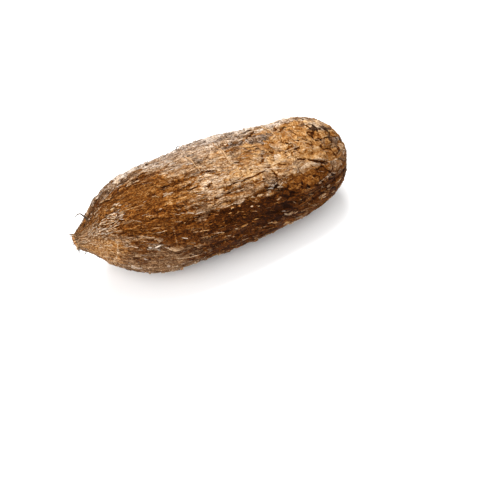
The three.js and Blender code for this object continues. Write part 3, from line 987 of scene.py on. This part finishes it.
def bark_material(name, paper):
    """Bark of the skin, or the paper of the loose flakes, which have pale torn rims, partly a painted
    highlight.
    """
    r = Recipe(name)
    grain = r.attribute("grain", "Vector")
    streak = r.noise(grain, (0.2, 0.7, 0.7), detail=4.0, distortion=0.5)
    fibre = r.noise(grain, (0.4, 1.5, 1.5), roughness=0.65)
    blotch = r.noise(grain, (0.09, 0.16, 0.16), detail=4.0)
    speck = r.noise(grain, (0.8, 1.1, 1.1))
    vein = r.noise(grain, (0.3, 0.8, 0.8), roughness=0.55)
    # A hairline crack, darkened as painted shade, and a pale lip beside it, a painted highlight.
    cut = r.between(r.away_from(0.5, vein), 0.015, 0.05, 1.0, 0.0)  # a hairline, and the pale lip beside it
    cut_lip = r.between(r.away_from(0.565, vein), 0.01, 0.035, 1.0, 0.0)
    grit = r.between(speck, 0.4, 0.6, -0.5, 0.5)
    fleck = r.between(r.noise(grain, (0.9, 2.4, 2.4), detail=1.0, roughness=0.55), 0.62, 0.7)
    lines = [(streak, 0.48), (fibre, 0.62), (0.55, -1.0), (grit, 0.15)]
    detail = r.add(*lines, (cut, -0.22), (cut_lip, 0.14), (fleck, 0.22))
    drawn = r.maths("MULTIPLY", detail, r.attribute("detail"))
    # Painted shade and light: hollows darker and warmer, raised places lighter.
    hollow = r.between(r.attribute("hollow"), -0.6, 0.6, -0.13, 0.15)
    tone_parts = [(r.attribute("tone"), 1.0), (drawn, 1.0), (hollow, 1.0), (blotch, 0.24), (0.04, -1.0)]
    warmth_parts = [(r.attribute("warmth"), 1.0), (blotch, 0.9), (speck, 0.5), (hollow, -1.0), (0.7, -1.0)]
    relief_parts = [(streak, 0.6), (fibre, 0.7), (grit, 0.2), (cut, -0.4), (cut_lip, 0.2)]
    if paper:
        # Pale rims: partly bleached torn paper, partly a painted highlight.
        rim = r.maths("MULTIPLY", r.attribute("rim"), r.between(speck, 0.4, 0.6, 0.2, 1.0))
        tone_parts += [(rim, 0.12)]
        warmth_parts += [(rim, -0.15)]
    else:
        # Lips paler and cooler, partly dust and painted highlight; grooves darker and warmer, partly soil
        # and painted shade.
        lip = r.between(r.add((r.attribute("lip"), 1.0), (speck, 0.5)), 0.5, 0.95)
        groove = r.between(r.add((r.attribute("groove"), 1.0), (speck, -0.4)), 0.1, 0.55)
        faint = r.add((r.noise(grain, (0.07, 0.9, 0.9)), 1.0), (0.5, -1.0))
        long_streak = r.maths("MULTIPLY", faint, r.attribute("smooth"))
        tone_parts += [(lip, 0.17), (groove, -0.32), (long_streak, 0.5)]
        warmth_parts += [(lip, -0.2), (groove, 0.45)]
        relief_parts += [(lip, 0.4), (groove, -0.6)]
    tone, warmth = r.add(*tone_parts), r.add(*warmth_parts)

    def shades(colours):
        return r.ramp(tone, [(n / 5, srgb(*colour)) for n, colour in enumerate(colours)])

    colour = r.blend(r.between(warmth, 0.0, 0.5), shades(ASH_COLOURS), shades(TAN_COLOURS))
    colour = r.blend(r.between(warmth, 0.5, 1.0), colour, shades(GOLD_COLOURS))
    if not paper:
        wood_stops = [(0.48, DARK_WOOD), (0.58, SPLIT_WOOD), (0.7, DRY_WOOD)]
        wood = r.ramp(r.add((fibre, 0.6), (speck, 0.6)), wood_stops)
        colour = r.blend(r.attribute("wood"), colour, wood)
    return r.finish(
        Base_Color=colour,
        Roughness=r.between(fibre, 0.3, 0.7, 0.55, 0.85),
        Specular_IOR_Level=0.04,
        Normal=r.bump(r.add(*relief_parts), 0.0007),
    )


bark = bark_material("cassava bark", paper=False)
paper_bark = bark_material("papery outer bark", paper=True)

# %% [markdown]
# ## The skin in two halves
#
# The skin of a root is one closed surface. Here it is cut across its middle into two closed pieces, so that
# each stays light enough to handle. Each reaches a little way under the other and dips there, so that no gap
# or doubled surface shows at the seam. In the hollows at the ends the bark is gone and broken wood shows.

# %% Skin pieces
HALF = len(all_rings) // 2
SEAM_RINGS = 2  # rings that each piece reaches on under the other one
SEAM_DIP = 0.08
WOOD_FINENESS = 2  # how much finer the wood's grain is than the bark's


def skin_values(grid, ends=0.0):
    """Values for every ring of the skin from a grid over the bark."""
    hollows = np.full((CUP_RINGS, AROUND), ends)
    return np.concatenate([hollows, grid, hollows])


skin_grain = np.stack([skin_values(g) for g in grain], -1)
for hollow in (slice(CUP_RINGS), slice(-CUP_RINGS, None)):
    skin_grain[hollow] = all_rings[hollow] * WOOD_FINENESS
skin_masks = {name: skin_values(mask) for name, mask in masks.items() if name != "loose"}
skin_masks["hollow"] = skin_values(hollow_grid)
skin_masks["smooth"] = skin_values(1 - masks["loose"])
skin_masks["wood"] = skin_values(np.zeros_like(hollow_grid), 1.0)


def with_ends(rings):
    """The values of all rings in a row, then one for the middle of each end."""
    flat_rings = rings.reshape(-1, *rings.shape[2:])
    return np.concatenate([flat_rings, rings[:1].mean(1), rings[-1:].mean(1)])


def add_skin(name, first, last, dips):
    """One closed piece of the skin from a ring to a ring, with some rings dipped under the other piece."""
    rings = all_rings[first:last].copy()
    for ring, depth in dips:
        rings[ring] += (rings[ring].mean(0) - rings[ring]) * depth / GIRTH_RADIUS
    faces, flat = tube(len(rings), AROUND)
    values = {key: with_ends(mask[first:last]) for key, mask in skin_masks.items()}
    vectors = {"grain": with_ends(skin_grain[first:last])}
    piece = make_piece(name, with_ends(rings), faces, flat, bark, values, vectors)
    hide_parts("cassava_root")


under = [(n, SEAM_DIP * (SEAM_RINGS - n) ** 2) for n in range(SEAM_RINGS)]
add_skin("bark_skin_tail", 0, HALF + SEAM_RINGS, [(-1 - n, depth) for n, depth in under])
add_skin("bark_skin_neck", HALF - SEAM_RINGS - 1, len(all_rings), under)
print("skin cut at ring", HALF, "of", len(all_rings))

# %% [markdown]
# ## Loose paper
#
# The outer bark breaks into flakes that hold on by one edge and lift at the other. They could be painted on,
# but only real flakes catch the light on their rims, hide the bark behind them and break up the outline.
# Each is a thin closed shell: a top and a bottom sheet that share their rim. It follows the skin below it,
# bent, crumpled and torn by its own random numbers.


# %% Scatter places and read the bark under them
CROWDING = 0.9  # how much closer together flakes lie in some places than in others
CROWD_LENGTH, CROWD_WIDTH = 9, 7  # size of those places
BARE_ANGLE = 157  # no flake lies further round than this, where the root rests on the table
END_GAP = 2  # nor closer than this to either end


def scatter(step_along, step_across, seed, wanted, spots=None):
    """Places spread evenly over the bark, kept with the chance that wanted(tone, warmth, loose) gives."""
    runs, angles = [], []
    for row, run in enumerate(np.arange(END_GAP + 1, RUN - END_GAP, step_along)):
        around = int(2 * math.pi * radius_at(run) / step_across) + 3
        n = np.arange(around)
        runs.append(run + step_along * (chance(n, row, seed) - 0.5))
        angles.append((n + chance(n, row, seed + 1)) / around * 360 - 180)
    run, angle = np.clip(np.concatenate(runs), END_GAP, RUN - END_GAP), np.concatenate(angles)
    n = np.arange(len(run))
    turn, wide = np.radians(angle), GIRTH_RADIUS / CROWD_WIDTH
    crowd = noise(run / CROWD_LENGTH, wide * np.sin(turn), wide * np.cos(turn) + seed)
    kept = chance(n, 5, seed + 2) < wanted(*finish_at(along_at(run), angle)) * (1 + CROWDING * crowd)
    kept &= np.abs(angle) < BARE_ANGLE
    if spots:  # only in ovals around these places
        gaps = [np.hypot((along_at(run) - x) / long, (angle - at) / wide) for x, at, long, wide in spots]
        kept &= np.min(gaps, 0) < 1 + 0.5 * crowd
    return run[kept], angle[kept]


def read_grid(grid, run, angle):
    """A value of the bark's grid at any place, blended from the four grid points around it."""
    row = np.interp(run, ring_runs, np.arange(RINGS))
    column = (angle + 180) / 360 * AROUND
    i = np.clip(row.astype(int), 0, RINGS - 2)
    j = np.floor(column).astype(int)
    u, v = row - i, column - j
    first, second = j % AROUND, (j + 1) % AROUND
    near = grid[i, first] * (1 - v) + grid[i, second] * v
    far = grid[i + 1, first] * (1 - v) + grid[i + 1, second] * v
    return near * (1 - u) + far * u


test_bark = float(read_grid(height_grid, np.array([RUN / 2]), np.zeros(1))[0])
print("in the middle of the top the bark stands", round(test_bark, 2), "mm off the smooth outline")

# %% Faces of flakes
SHEET_WIDTH = 0.48  # width of each of a flake's two sheets on its flat map


def quads(grid):
    """The four corners of each square of a grid, square by square."""
    corners = (grid[:-1, :-1], grid[:-1, 1:], grid[1:, 1:], grid[1:, :-1])
    return np.stack([c.reshape(-1, *grid.shape[2:]) for c in corners], 1)


def flake_faces(count, long, wide):
    """Faces of closed flakes, each a top grid and a bottom grid that share their rim, and their flat map."""
    top = np.arange(long * wide).reshape(long, wide)
    bottom = top.copy()
    bottom[1:-1, 1:-1] = long * wide + np.arange((long - 2) * (wide - 2)).reshape(long - 2, wide - 2)
    one = np.concatenate([quads(top), quads(bottom)[:, ::-1]])
    points_each = long * wide + (long - 2) * (wide - 2)
    n = np.arange(count)
    across, ahead = np.meshgrid(np.linspace(0, SHEET_WIDTH, wide), np.linspace(0, 1, long))
    flat_top = quads(np.stack([across, ahead], -1))
    flat_one = np.concatenate([flat_top, flat_top[:, ::-1] + (1 - SHEET_WIDTH, 0)]).reshape(1, -1, 2)
    flat = in_cell(flat_one, n[:, None], count)
    return (one[None] + points_each * n[:, None, None]).reshape(-1, 4), flat


def both_sheets(top, bottom):
    """Values over the top grid, then over the bottom grid without its rim, for each flake."""
    inner = bottom[:, 1:-1, 1:-1]
    parts = [grid.reshape(len(grid), -1, *grid.shape[3:]) for grid in (top, inner)]
    return np.concatenate(parts, 1)


print("a flake of 7 by 3 points has", len(flake_faces(1, 7, 3)[0]), "faces")

# %% The outline of a flake
PALE_TONE = 0.85  # the tone of bleached paper, which flakes are drawn to
HUE_CHANGE = 0.5  # how far one flake's warmth lies from another's
COOLING, MOST_COOLED = 0.45, 0.7  # how much cooler a flake turns as it bleaches, and up to where
FLAKE_FULL_RADIUS, FLAKE_LEAST = 30, 0.4  # radius from which flakes are full-sized, and their least share
FLAKE_FLOAT = 0.12  # from the bark to the middle of a flake's thickness
HINGE_DEPTH = 0.4  # how far its fixed edge is sunk from there
LEAST_HEIGHT = 0.05  # of anything loose above the table


def between(number, low, high):
    """Where a number from 0 to 1 lies between low and high."""
    return low + (high - low) * number


def each(values):
    """One value a flake, shaped to be used all over its grid."""
    return values[:, None, None]


def flake_outline(u, v, half_length, half_width, blunt, key):
    """How far across and forward a flake's points lie from its middle, with a tapered and torn outline."""
    taper = blunt + (1 - blunt) * np.sqrt(np.clip(1 - u**2, 0, 1))
    taper = taper * (1 + 0.5 * noise(u * half_length / 1.2, 7, key))
    torn = 1 + 0.45 * noise(u * half_length / 1.1, v * 1.3, key) * np.abs(v)
    bend = 0.4 * noise(u * 1.1, 5, key + 0.5)
    forward = u + 0.28 * noise(v * 1.9, 3, key + 0.3) * np.abs(u) + 0.08 * noise(v * 5, 8, key)
    return half_width * (v * taper * torn + bend), half_length * forward


# %% Build flakes
def add_flakes(name, where, grid, length, width, yaw, lift, blunt, thick, crumple, seed, pale):
    """Flakes of one kind at those places. Pairs are the least and the most; lengths are in mm."""
    run, angle = where
    count = len(run)
    long, wide = grid
    n = np.arange(count)
    longer, wider, astray, side, rise, shift, bleach, hue, end = (chance(n, k, seed) for k in range(9))
    size = size_share(radius_at(run), FLAKE_FULL_RADIUS, FLAKE_LEAST) ** 0.7
    half_length = each(between(longer**1.5, *length) / 2 * size)
    half_width = each(between(wider, *width) / 2 * size)
    u = np.linspace(-1, 1, long)[None, :, None] * np.ones((count, 1, wide))
    v = np.linspace(-1, 1, wide)[None, None, :] * np.ones((count, long, 1))
    key = each(n * 3.7 + seed)
    across, forward = flake_outline(u, v, half_length, half_width, blunt, key)

    # Turned with the grain, more or less, and laid on the bark.
    most_astray = np.radians(yaw) * (1 + ease((run - NECK_START) / 60))
    turn = each(most_astray * (2 * astray - 1) + lean_at(angle))
    flake_run = np.clip(each(run) + forward * np.cos(turn) - across * np.sin(turn), 0.2, RUN - 0.2)
    sideways = forward * np.sin(turn) + across * np.cos(turn)
    flake_angle = each(angle) + np.degrees(sideways / each(radius_at(run)))
    bed = read_grid(bed_grid, flake_run, flake_angle)

    # One side and one end are free, and lift; the sheet is thickest in its middle and closed at its rim.
    free = v * each(np.where(side < 0.5, -1, 1)) + u * each(1.4 * end - 0.7)
    free = np.clip(0.5 + 0.5 * free, 0, 1)
    raised = each(between(rise**2, *lift) * size) * free**1.6
    folds = crumple * noise(u * half_length / 0.9, v * half_width / 0.7, key + 0.7) * (0.35 + 0.65 * free)
    sheet = np.clip((1 - u**4) * (1 - v**4), 0, 1) * thick
    middle = bed + FLAKE_FLOAT - HINGE_DEPTH * (1 - free) ** 2 + raised + folds
    along, radius, slope = along_at(flake_run), radius_at(flake_run), slope_at(flake_run)
    levels = (middle + sheet / 2, middle - sheet / 2)
    top, bottom = (place(along, radius, slope, flake_angle, level) for level in levels)
    points = both_sheets(top, bottom)
    points[..., 2] = np.maximum(points[..., 2], LEAST_HEIGHT)

    # Its colour is the bark's, bleached and turned a little warmer or cooler, with a grain of its own.
    bark_tone, bark_warmth, loose = finish_at(along_at(run), angle)
    pull = between(bleach ** (2.2 - 1.2 * loose), *pale)
    cooled = COOLING * np.minimum(pull, MOST_COOLED)
    whole = {
        "tone": bark_tone + pull * (PALE_TONE - bark_tone),
        "detail": detail_at(along_at(run), bark_warmth, loose),
        "warmth": bark_warmth + HUE_CHANGE * (hue - 0.5) - cooled,
    }
    values = {mask: np.repeat(value, points.shape[1]) for mask, value in whole.items()}
    # Free rims are paler: partly bleached torn paper, partly a painted highlight where a lifted edge catches
    # light.
    rim = np.maximum(np.abs(u), np.abs(v)) ** 3 * free
    values["rim"] = both_sheets(rim, rim)
    # Painted light and shade: a flake's lifted part is lighter and its underside darker.
    values["hollow"] = both_sheets(0.4 * free - 0.1, np.full_like(free, -0.3))
    grain_here = np.stack(grain_at(flake_run, flake_angle, radius), -1) + 40 * each(shift)[..., None]
    vectors = {"grain": both_sheets(grain_here, grain_here)}
    faces, flat = flake_faces(count, long, wide)
    piece = make_piece(name, points.reshape(-1, 3), faces.tolist(), flat, paper_bark, values, vectors)
    piece.data.set_sharp_from_angle(angle=math.radians(70))


# %% [markdown]
# ## Six kinds of loose bark
#
# Plates are the broad scales that the dry outer bark splits into, and scraps are what is left of them.
# Slivers have torn off along the grain where bark is loose or dark, and strips where it is grey. Glints are
# pale curls at a few spots near the tail, bleached near white partly as painted highlights, and the neck has
# large blunt plates of its own. One rule makes all six, because they differ only in size, shape and place;
# each kind says how likely it is on which bark.

# %% Kinds of loose bark
# Places with their half length in mm and half width in degrees.
GLINTS = [(26, 21, 7, 9), (31, 8, 6, 5), (13, 26, 5, 12), (21, 36, 5, 6), (46, 73, 5, 4)]
NECK_PLATES = [(178, 16, 32, 28), (200, 34, 12, 24), (158, -6, 14, 8), (186, -16, 18, 13)]
# Steps are the mean distances between places, along the root and across it.
FLAKE_KINDS = {
    "bark_plates": dict(
        steps=(7.5, 5), wanted=lambda tone, warmth, loose: 0.8 * (loose - 0.1), seed=101,
        grid=(11, 6), length=(4, 12), width=(1.8, 4.2), yaw=18, lift=(0.1, 0.9), blunt=0.4,
        thick=0.26, crumple=0.45, pale=(-0.2, 0.4),
    ),
    "bark_scraps": dict(
        steps=(3.6, 2.5), wanted=lambda tone, warmth, loose: 0.55 * loose - 0.04, seed=102,
        grid=(7, 4), length=(2.2, 6), width=(0.9, 1.9), yaw=24, lift=(0.1, 1.3), blunt=0.3,
        thick=0.25, crumple=0.28, pale=(-0.25, 0.6),
    ),
    "bark_slivers": dict(
        steps=(4.2, 2.6), wanted=lambda tone, warmth, loose: 0.1 + 0.45 * loose + 0.2 * (tone < 0.3),
        seed=103, grid=(7, 3), length=(2, 8), width=(0.3, 0.7), yaw=16, lift=(0.3, 1.1), blunt=0.1,
        thick=0.25, crumple=0.2, pale=(0.0, 0.85),
    ),
    "bark_strips": dict(
        steps=(9, 3.4), wanted=lambda tone, warmth, loose: 0.1 + 0.5 * (warmth < 0.35), seed=104,
        grid=(14, 3), length=(8, 22), width=(0.6, 1.4), yaw=6, lift=(0.0, 0.6), blunt=0.2,
        thick=0.25, crumple=0.15, pale=(-0.1, 0.55),
    ),
    "neck_plates": dict(
        steps=(8, 6.5), wanted=lambda tone, warmth, loose: 0.75, spots=NECK_PLATES, seed=106,
        grid=(11, 9), length=(5, 10), width=(3.5, 7), yaw=30, lift=(0.3, 1.2), blunt=0.85,
        thick=0.35, crumple=0.25, pale=(-0.2, 0.35),
    ),
    # Glints are bleached past any other flake, partly as painted highlights.
    "bark_glints": dict(
        steps=(2, 1.3), wanted=lambda tone, warmth, loose: 0.75, spots=GLINTS, seed=105,
        grid=(7, 3), length=(2, 6), width=(0.55, 1.15), yaw=30, lift=(0.4, 1.3), blunt=0.1,
        thick=0.25, crumple=0.3, pale=(0.2, 2.4),
    ),
}  # fmt: skip


def add_kind(name, steps, wanted, seed, spots=None, **looks):
    """All the loose bark of one kind."""
    where = scatter(*steps, seed, wanted, spots)
    add_flakes(name, where, seed=seed + 100, **looks)
    print(len(where[0]), "of them")


for kind_name, kind in FLAKE_KINDS.items():
    add_kind(kind_name, **kind)

# %% [markdown]
# ## Strands
#
# Thin side roots and torn fibres stay on a pulled root: a hooked hair near the tail, threads at the broken
# tip and the neck, and a few that lie across the bark. A curve with a bevel could draw them, but a strand
# swept here, ring by ring, keeps its own flat map and its number of faces. Each thins to its end. The side
# roots follow those of the CAD solid.


# %% Sweep strands
STRAND_SIDES = 6
SWEEP_AXIS = (0.13, 0.24, 0.96)  # roughly upright, and along no strand


def strand_points(stops, thick, tip, steps):
    """Rings of points round a smooth curve, then the middles of both ends."""
    path = smooth_curve(stops, steps)
    ahead = np.gradient(path, axis=0)
    ahead /= np.linalg.norm(ahead, axis=1)[:, None]
    side = np.cross(ahead, SWEEP_AXIS)
    side /= np.linalg.norm(side, axis=1)[:, None]
    up_side = np.cross(side, ahead)
    half = np.linspace(thick, tip, steps)[:, None, None] / 2
    turn = -2 * np.pi * np.arange(STRAND_SIDES) / STRAND_SIDES
    ring = np.cos(turn)[None, :, None] * side[:, None] + np.sin(turn)[None, :, None] * up_side[:, None]
    return np.concatenate([(path[:, None] + half * ring).reshape(-1, 3), path[:1], path[-1:]])


def add_strands(name, strands, material):
    """One piece of many strands, each given as (stops, thickness, thickness of its tip, steps)."""
    points, faces, flats, tones = [], [], [], []
    start = 0
    for n, one in enumerate(strands):
        here = strand_points(*one)
        tube_faces, flat = tube(one[3], STRAND_SIDES)
        faces += [tuple(start + corner for corner in face) for face in tube_faces]
        flats.append(in_cell(flat, np.array(n), len(strands)))
        tones.append(np.full(len(here), chance(n, 4, 9)))
        points.append(here)
        start += len(here)
    points = np.concatenate(points)
    points[:, 2] = np.maximum(points[:, 2], LEAST_HEIGHT)
    values = {"tone": np.concatenate(tones)}
    make_piece(name, points, faces, np.concatenate(flats), material, values, {})


def on_bark(run, angle, lift):
    """A point that far above the bark."""
    run, angle = np.atleast_1d(run), np.atleast_1d(angle)
    bed = read_grid(bed_grid, run, angle)
    return place(along_at(run), radius_at(run), slope_at(run), angle, bed + lift)[0]


print("a strand of 12 steps has", len(tube(12, STRAND_SIDES)[0]), "faces")

# %% Strand materials
MOTTLE_WAVES = 700.0  # to a metre


def strand_material(name, dark, light):
    r = Recipe(name)
    mottle = r.noise(r.position(), (MOTTLE_WAVES,) * 3, roughness=0.55)
    tone = r.add((r.attribute("tone"), 0.6), (mottle, 0.8), (0.2, -1.0))
    return r.finish(
        Base_Color=r.ramp(tone, [(0.1, dark), (0.8, light)]),
        Roughness=0.75,
        Specular_IOR_Level=0.2,
        Normal=r.bump(mottle, 0.0001),
    )


root_hair = strand_material("root hair", srgb(34, 25, 18), srgb(96, 74, 54))
torn_fibre = strand_material("torn fibre", srgb(128, 84, 44), srgb(226, 188, 142))

# %% Side roots
# Place from the tail, angle, thickness, and how far each point lies beyond the bark and along the root.
ROOTLETS = [
    (13, -25, 1.5, [(2.6, -1.6), (4.8, -3.6), (4.4, -6.4), (3.0, -7.6)]),
    (1.2, 140, 1.2, [(1.0, -0.2), (2.2, -0.7), (3.2, -0.8)]),
    (1.6, -150, 1.0, [(1.0, -0.6), (2.2, -1.6)]),
    (5.5, 146, 0.9, [(1.0, -0.2), (1.9, -1.1), (2.4, -2.0)]),
    (94, -39, 1.1, [(1.6, 0.8), (2.6, 2.4), (1.9, 3.8)]),
    (146, -61, 1.0, [(1.6, -0.8), (2.4, -2.6), (3.0, -4.6)]),
    (61, -128, 1.2, [(1.8, -0.6), (3.4, -2.2), (4.0, -4.8), (3.2, -7.0)]),
    (118, -97, 1.0, [(1.5, 0.6), (3.0, 2.2), (3.4, 4.4)]),
    (181, -83, 1.1, [(1.8, -1.0), (3.2, -3.2), (3.0, -5.6)]),
]
ROOTLET_FOOT = [(-1.5, 0.4), (0, 0.1)]  # every side root starts under the bark
ROOTLET_FULLNESS, ROOTLET_TIP, ROOTLET_STEPS = 1.1, 0.5, 18
ALONG_ONLY = np.array([1.0, 0.0])


def rootlet_stops(along, angle, path):
    radius = float(radius_at(run_at(along)))
    stops = [*ROOTLET_FOOT, *path]
    return [place(along + forward, radius, ALONG_ONLY, angle, lift) for lift, forward in stops]


side_roots = [
    (rootlet_stops(at, angle, path), ROOTLET_FULLNESS * thick, ROOTLET_TIP, ROOTLET_STEPS)
    for at, angle, thick, path in ROOTLETS
]
add_strands("side_roots", side_roots, root_hair)

# %% Fibres across the bark
# First and last place from the tail, and first and last angle.
CROSSING = [
    (93.4, 95.1, -14, 13),
    (117.1, 117.9, -17, 21),
    (118.4, 118.2, -8, 17),
    (171.2, 173, -6, 18),
    (160, 163.5, -26, 1),
    (132, 140, -112, -80),
    (80, 84, -130, -96),
    (176, 170, -150, -112),
    (48, 52, -90, -60),
]
CROSSING_THICK, CROSSING_TIP, CROSSING_STEPS = 0.8, 0.4, 30
CROSSING_LIFT, CROSSING_RISE = 0.6, 0.35  # above the bark: the least, and how much more here and there
CROSSING_WAVER = 0.5


def crossing_stops(first, last, start, end, n):
    stops = []
    for share in np.linspace(0, 1, 9):
        along = first + (last - first) * share + CROSSING_WAVER * float(noise(share * 3, n, 2)[0])
        lift = CROSSING_LIFT + CROSSING_RISE * abs(float(noise(share * 5, n, 5)[0]))
        stops.append(on_bark(run_at(along), start + (end - start) * share, lift))
    return stops


crossing = [
    (crossing_stops(*one, n), CROSSING_THICK, CROSSING_TIP, CROSSING_STEPS) for n, one in enumerate(CROSSING)
]
add_strands("crossing_fibres", crossing, torn_fibre)

# %% Threads at the ends
# At each end: how many, how many degrees apart, and how far from the middle.
TAIL_THREADS, TAIL_THREAD_TURN, TAIL_THREAD_RADIUS = 44, 8.2, 4.9
NECK_THREADS, NECK_THREAD_TURN, NECK_THREAD_RADIUS = 40, 9, 7.6
THREAD_LENGTH, THREAD_SPREAD = (1.6, 5.0), (0.3, 0.8)
THREAD_WAVER, THREAD_SAG = 0.5, 0.25
THREAD_STEPS = 12


def end_stops(along, angle, radius, outward, n):
    """A torn thread at an end of the root that points away from it and sags."""
    length = between(float(chance(n, 2, 31)) ** 2, *THREAD_LENGTH)
    spread = between(float(chance(n, 3, 31)), *THREAD_SPREAD)
    stops = []
    for share in (-0.3, 0, 0.4, 0.75, 1):
        spot = place(along + outward * length * share, radius, ALONG_ONLY, angle, spread * length * share)
        waver = THREAD_WAVER * float(noise(3 * share, n, 7)[0])
        stops.append(spot + [0, waver, -THREAD_SAG * length * max(share, 0) ** 2])
    return stops


threads = []
for n in range(TAIL_THREADS):
    angle = TAIL_THREAD_TURN * n + 7 * float(chance(n, 1, 31))
    stops = end_stops(1.0 + 2 * float(chance(n, 6, 31)), angle, TAIL_THREAD_RADIUS, -1, n)
    threads.append((stops, 0.7, 0.3, THREAD_STEPS))
for n in range(NECK_THREADS):
    angle = NECK_THREAD_TURN * n + 8 * float(chance(n, 5, 31))
    stops = end_stops(LENGTH - 1.2, angle, NECK_THREAD_RADIUS, 1, n + 100)
    threads.append((stops, 0.6, 0.25, THREAD_STEPS))
add_strands("torn_threads", threads[::2], torn_fibre)
add_strands("dark_threads", threads[1::2], root_hair)

# %% [markdown]
# ## The table and the light
#
# The root lies on a wide white sheet in even white light from all round, with a soft lamp high behind it
# and an equally strong one lower at its tail's side. That leaves its top the brightest, and a soft grey
# shadow under the belly. An image of a room could light it too, but lamps can be moved one by one.

# %% Floor and lights
FLOOR_HALF = 4000
FLOOR_DROP = 0.1  # how far the floor lies under the root's flat, so that the two don't flicker
PAPER_WHITE = (0.93, 0.93, 0.93, 1)
SKY_STRENGTH = 0.75

floor_mesh = bpy.data.meshes.new("floor")
corners = [(-1, -1), (1, -1), (1, 1), (-1, 1)]
floor_points = [(x * FLOOR_HALF * MM, y * FLOOR_HALF * MM, -FLOOR_DROP * MM) for x, y in corners]
floor_mesh.from_pydata(floor_points, [], [(0, 1, 2, 3)])
floor = bpy.data.objects.new("floor", floor_mesh)
bpy.context.collection.objects.link(floor)
floor_mesh.materials.append(Recipe("white paper").finish(Base_Color=PAPER_WHITE, Roughness=0.9))


def soft_light(name, azimuth, elevation, distance, size, watts):
    """A square area light that looks at the root from that direction."""
    lamp = bpy.data.lights.new(name, "AREA")
    lamp.size = size * MM
    lamp.energy = watts
    towards = camera_axes(azimuth, elevation)[0]
    light = bpy.data.objects.new(name, lamp)
    light.location = (middle_of_root + towards * distance) * MM
    light.rotation_euler = (-towards).to_track_quat("-Z", "Y").to_euler()
    bpy.context.collection.objects.link(light)
    print(name, "light at", [round(v, 2) for v in light.location])


soft_light("key", azimuth=-175, elevation=72, distance=1200, size=600, watts=16)
soft_light("fill", azimuth=-60, elevation=42, distance=1300, size=1000, watts=16)

world = bpy.data.worlds.new("studio")
bpy.context.scene.world = world
world.use_nodes = True
world.node_tree.nodes["Background"].inputs["Color"].default_value = (1, 1, 1, 1)
world.node_tree.nodes["Background"].inputs["Strength"].default_value = SKY_STRENGTH
bpy.context.scene.view_settings.view_transform = "Standard"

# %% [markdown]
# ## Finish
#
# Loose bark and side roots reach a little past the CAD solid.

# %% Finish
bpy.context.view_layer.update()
print("made in", round(time.perf_counter() - began, 1), "seconds")
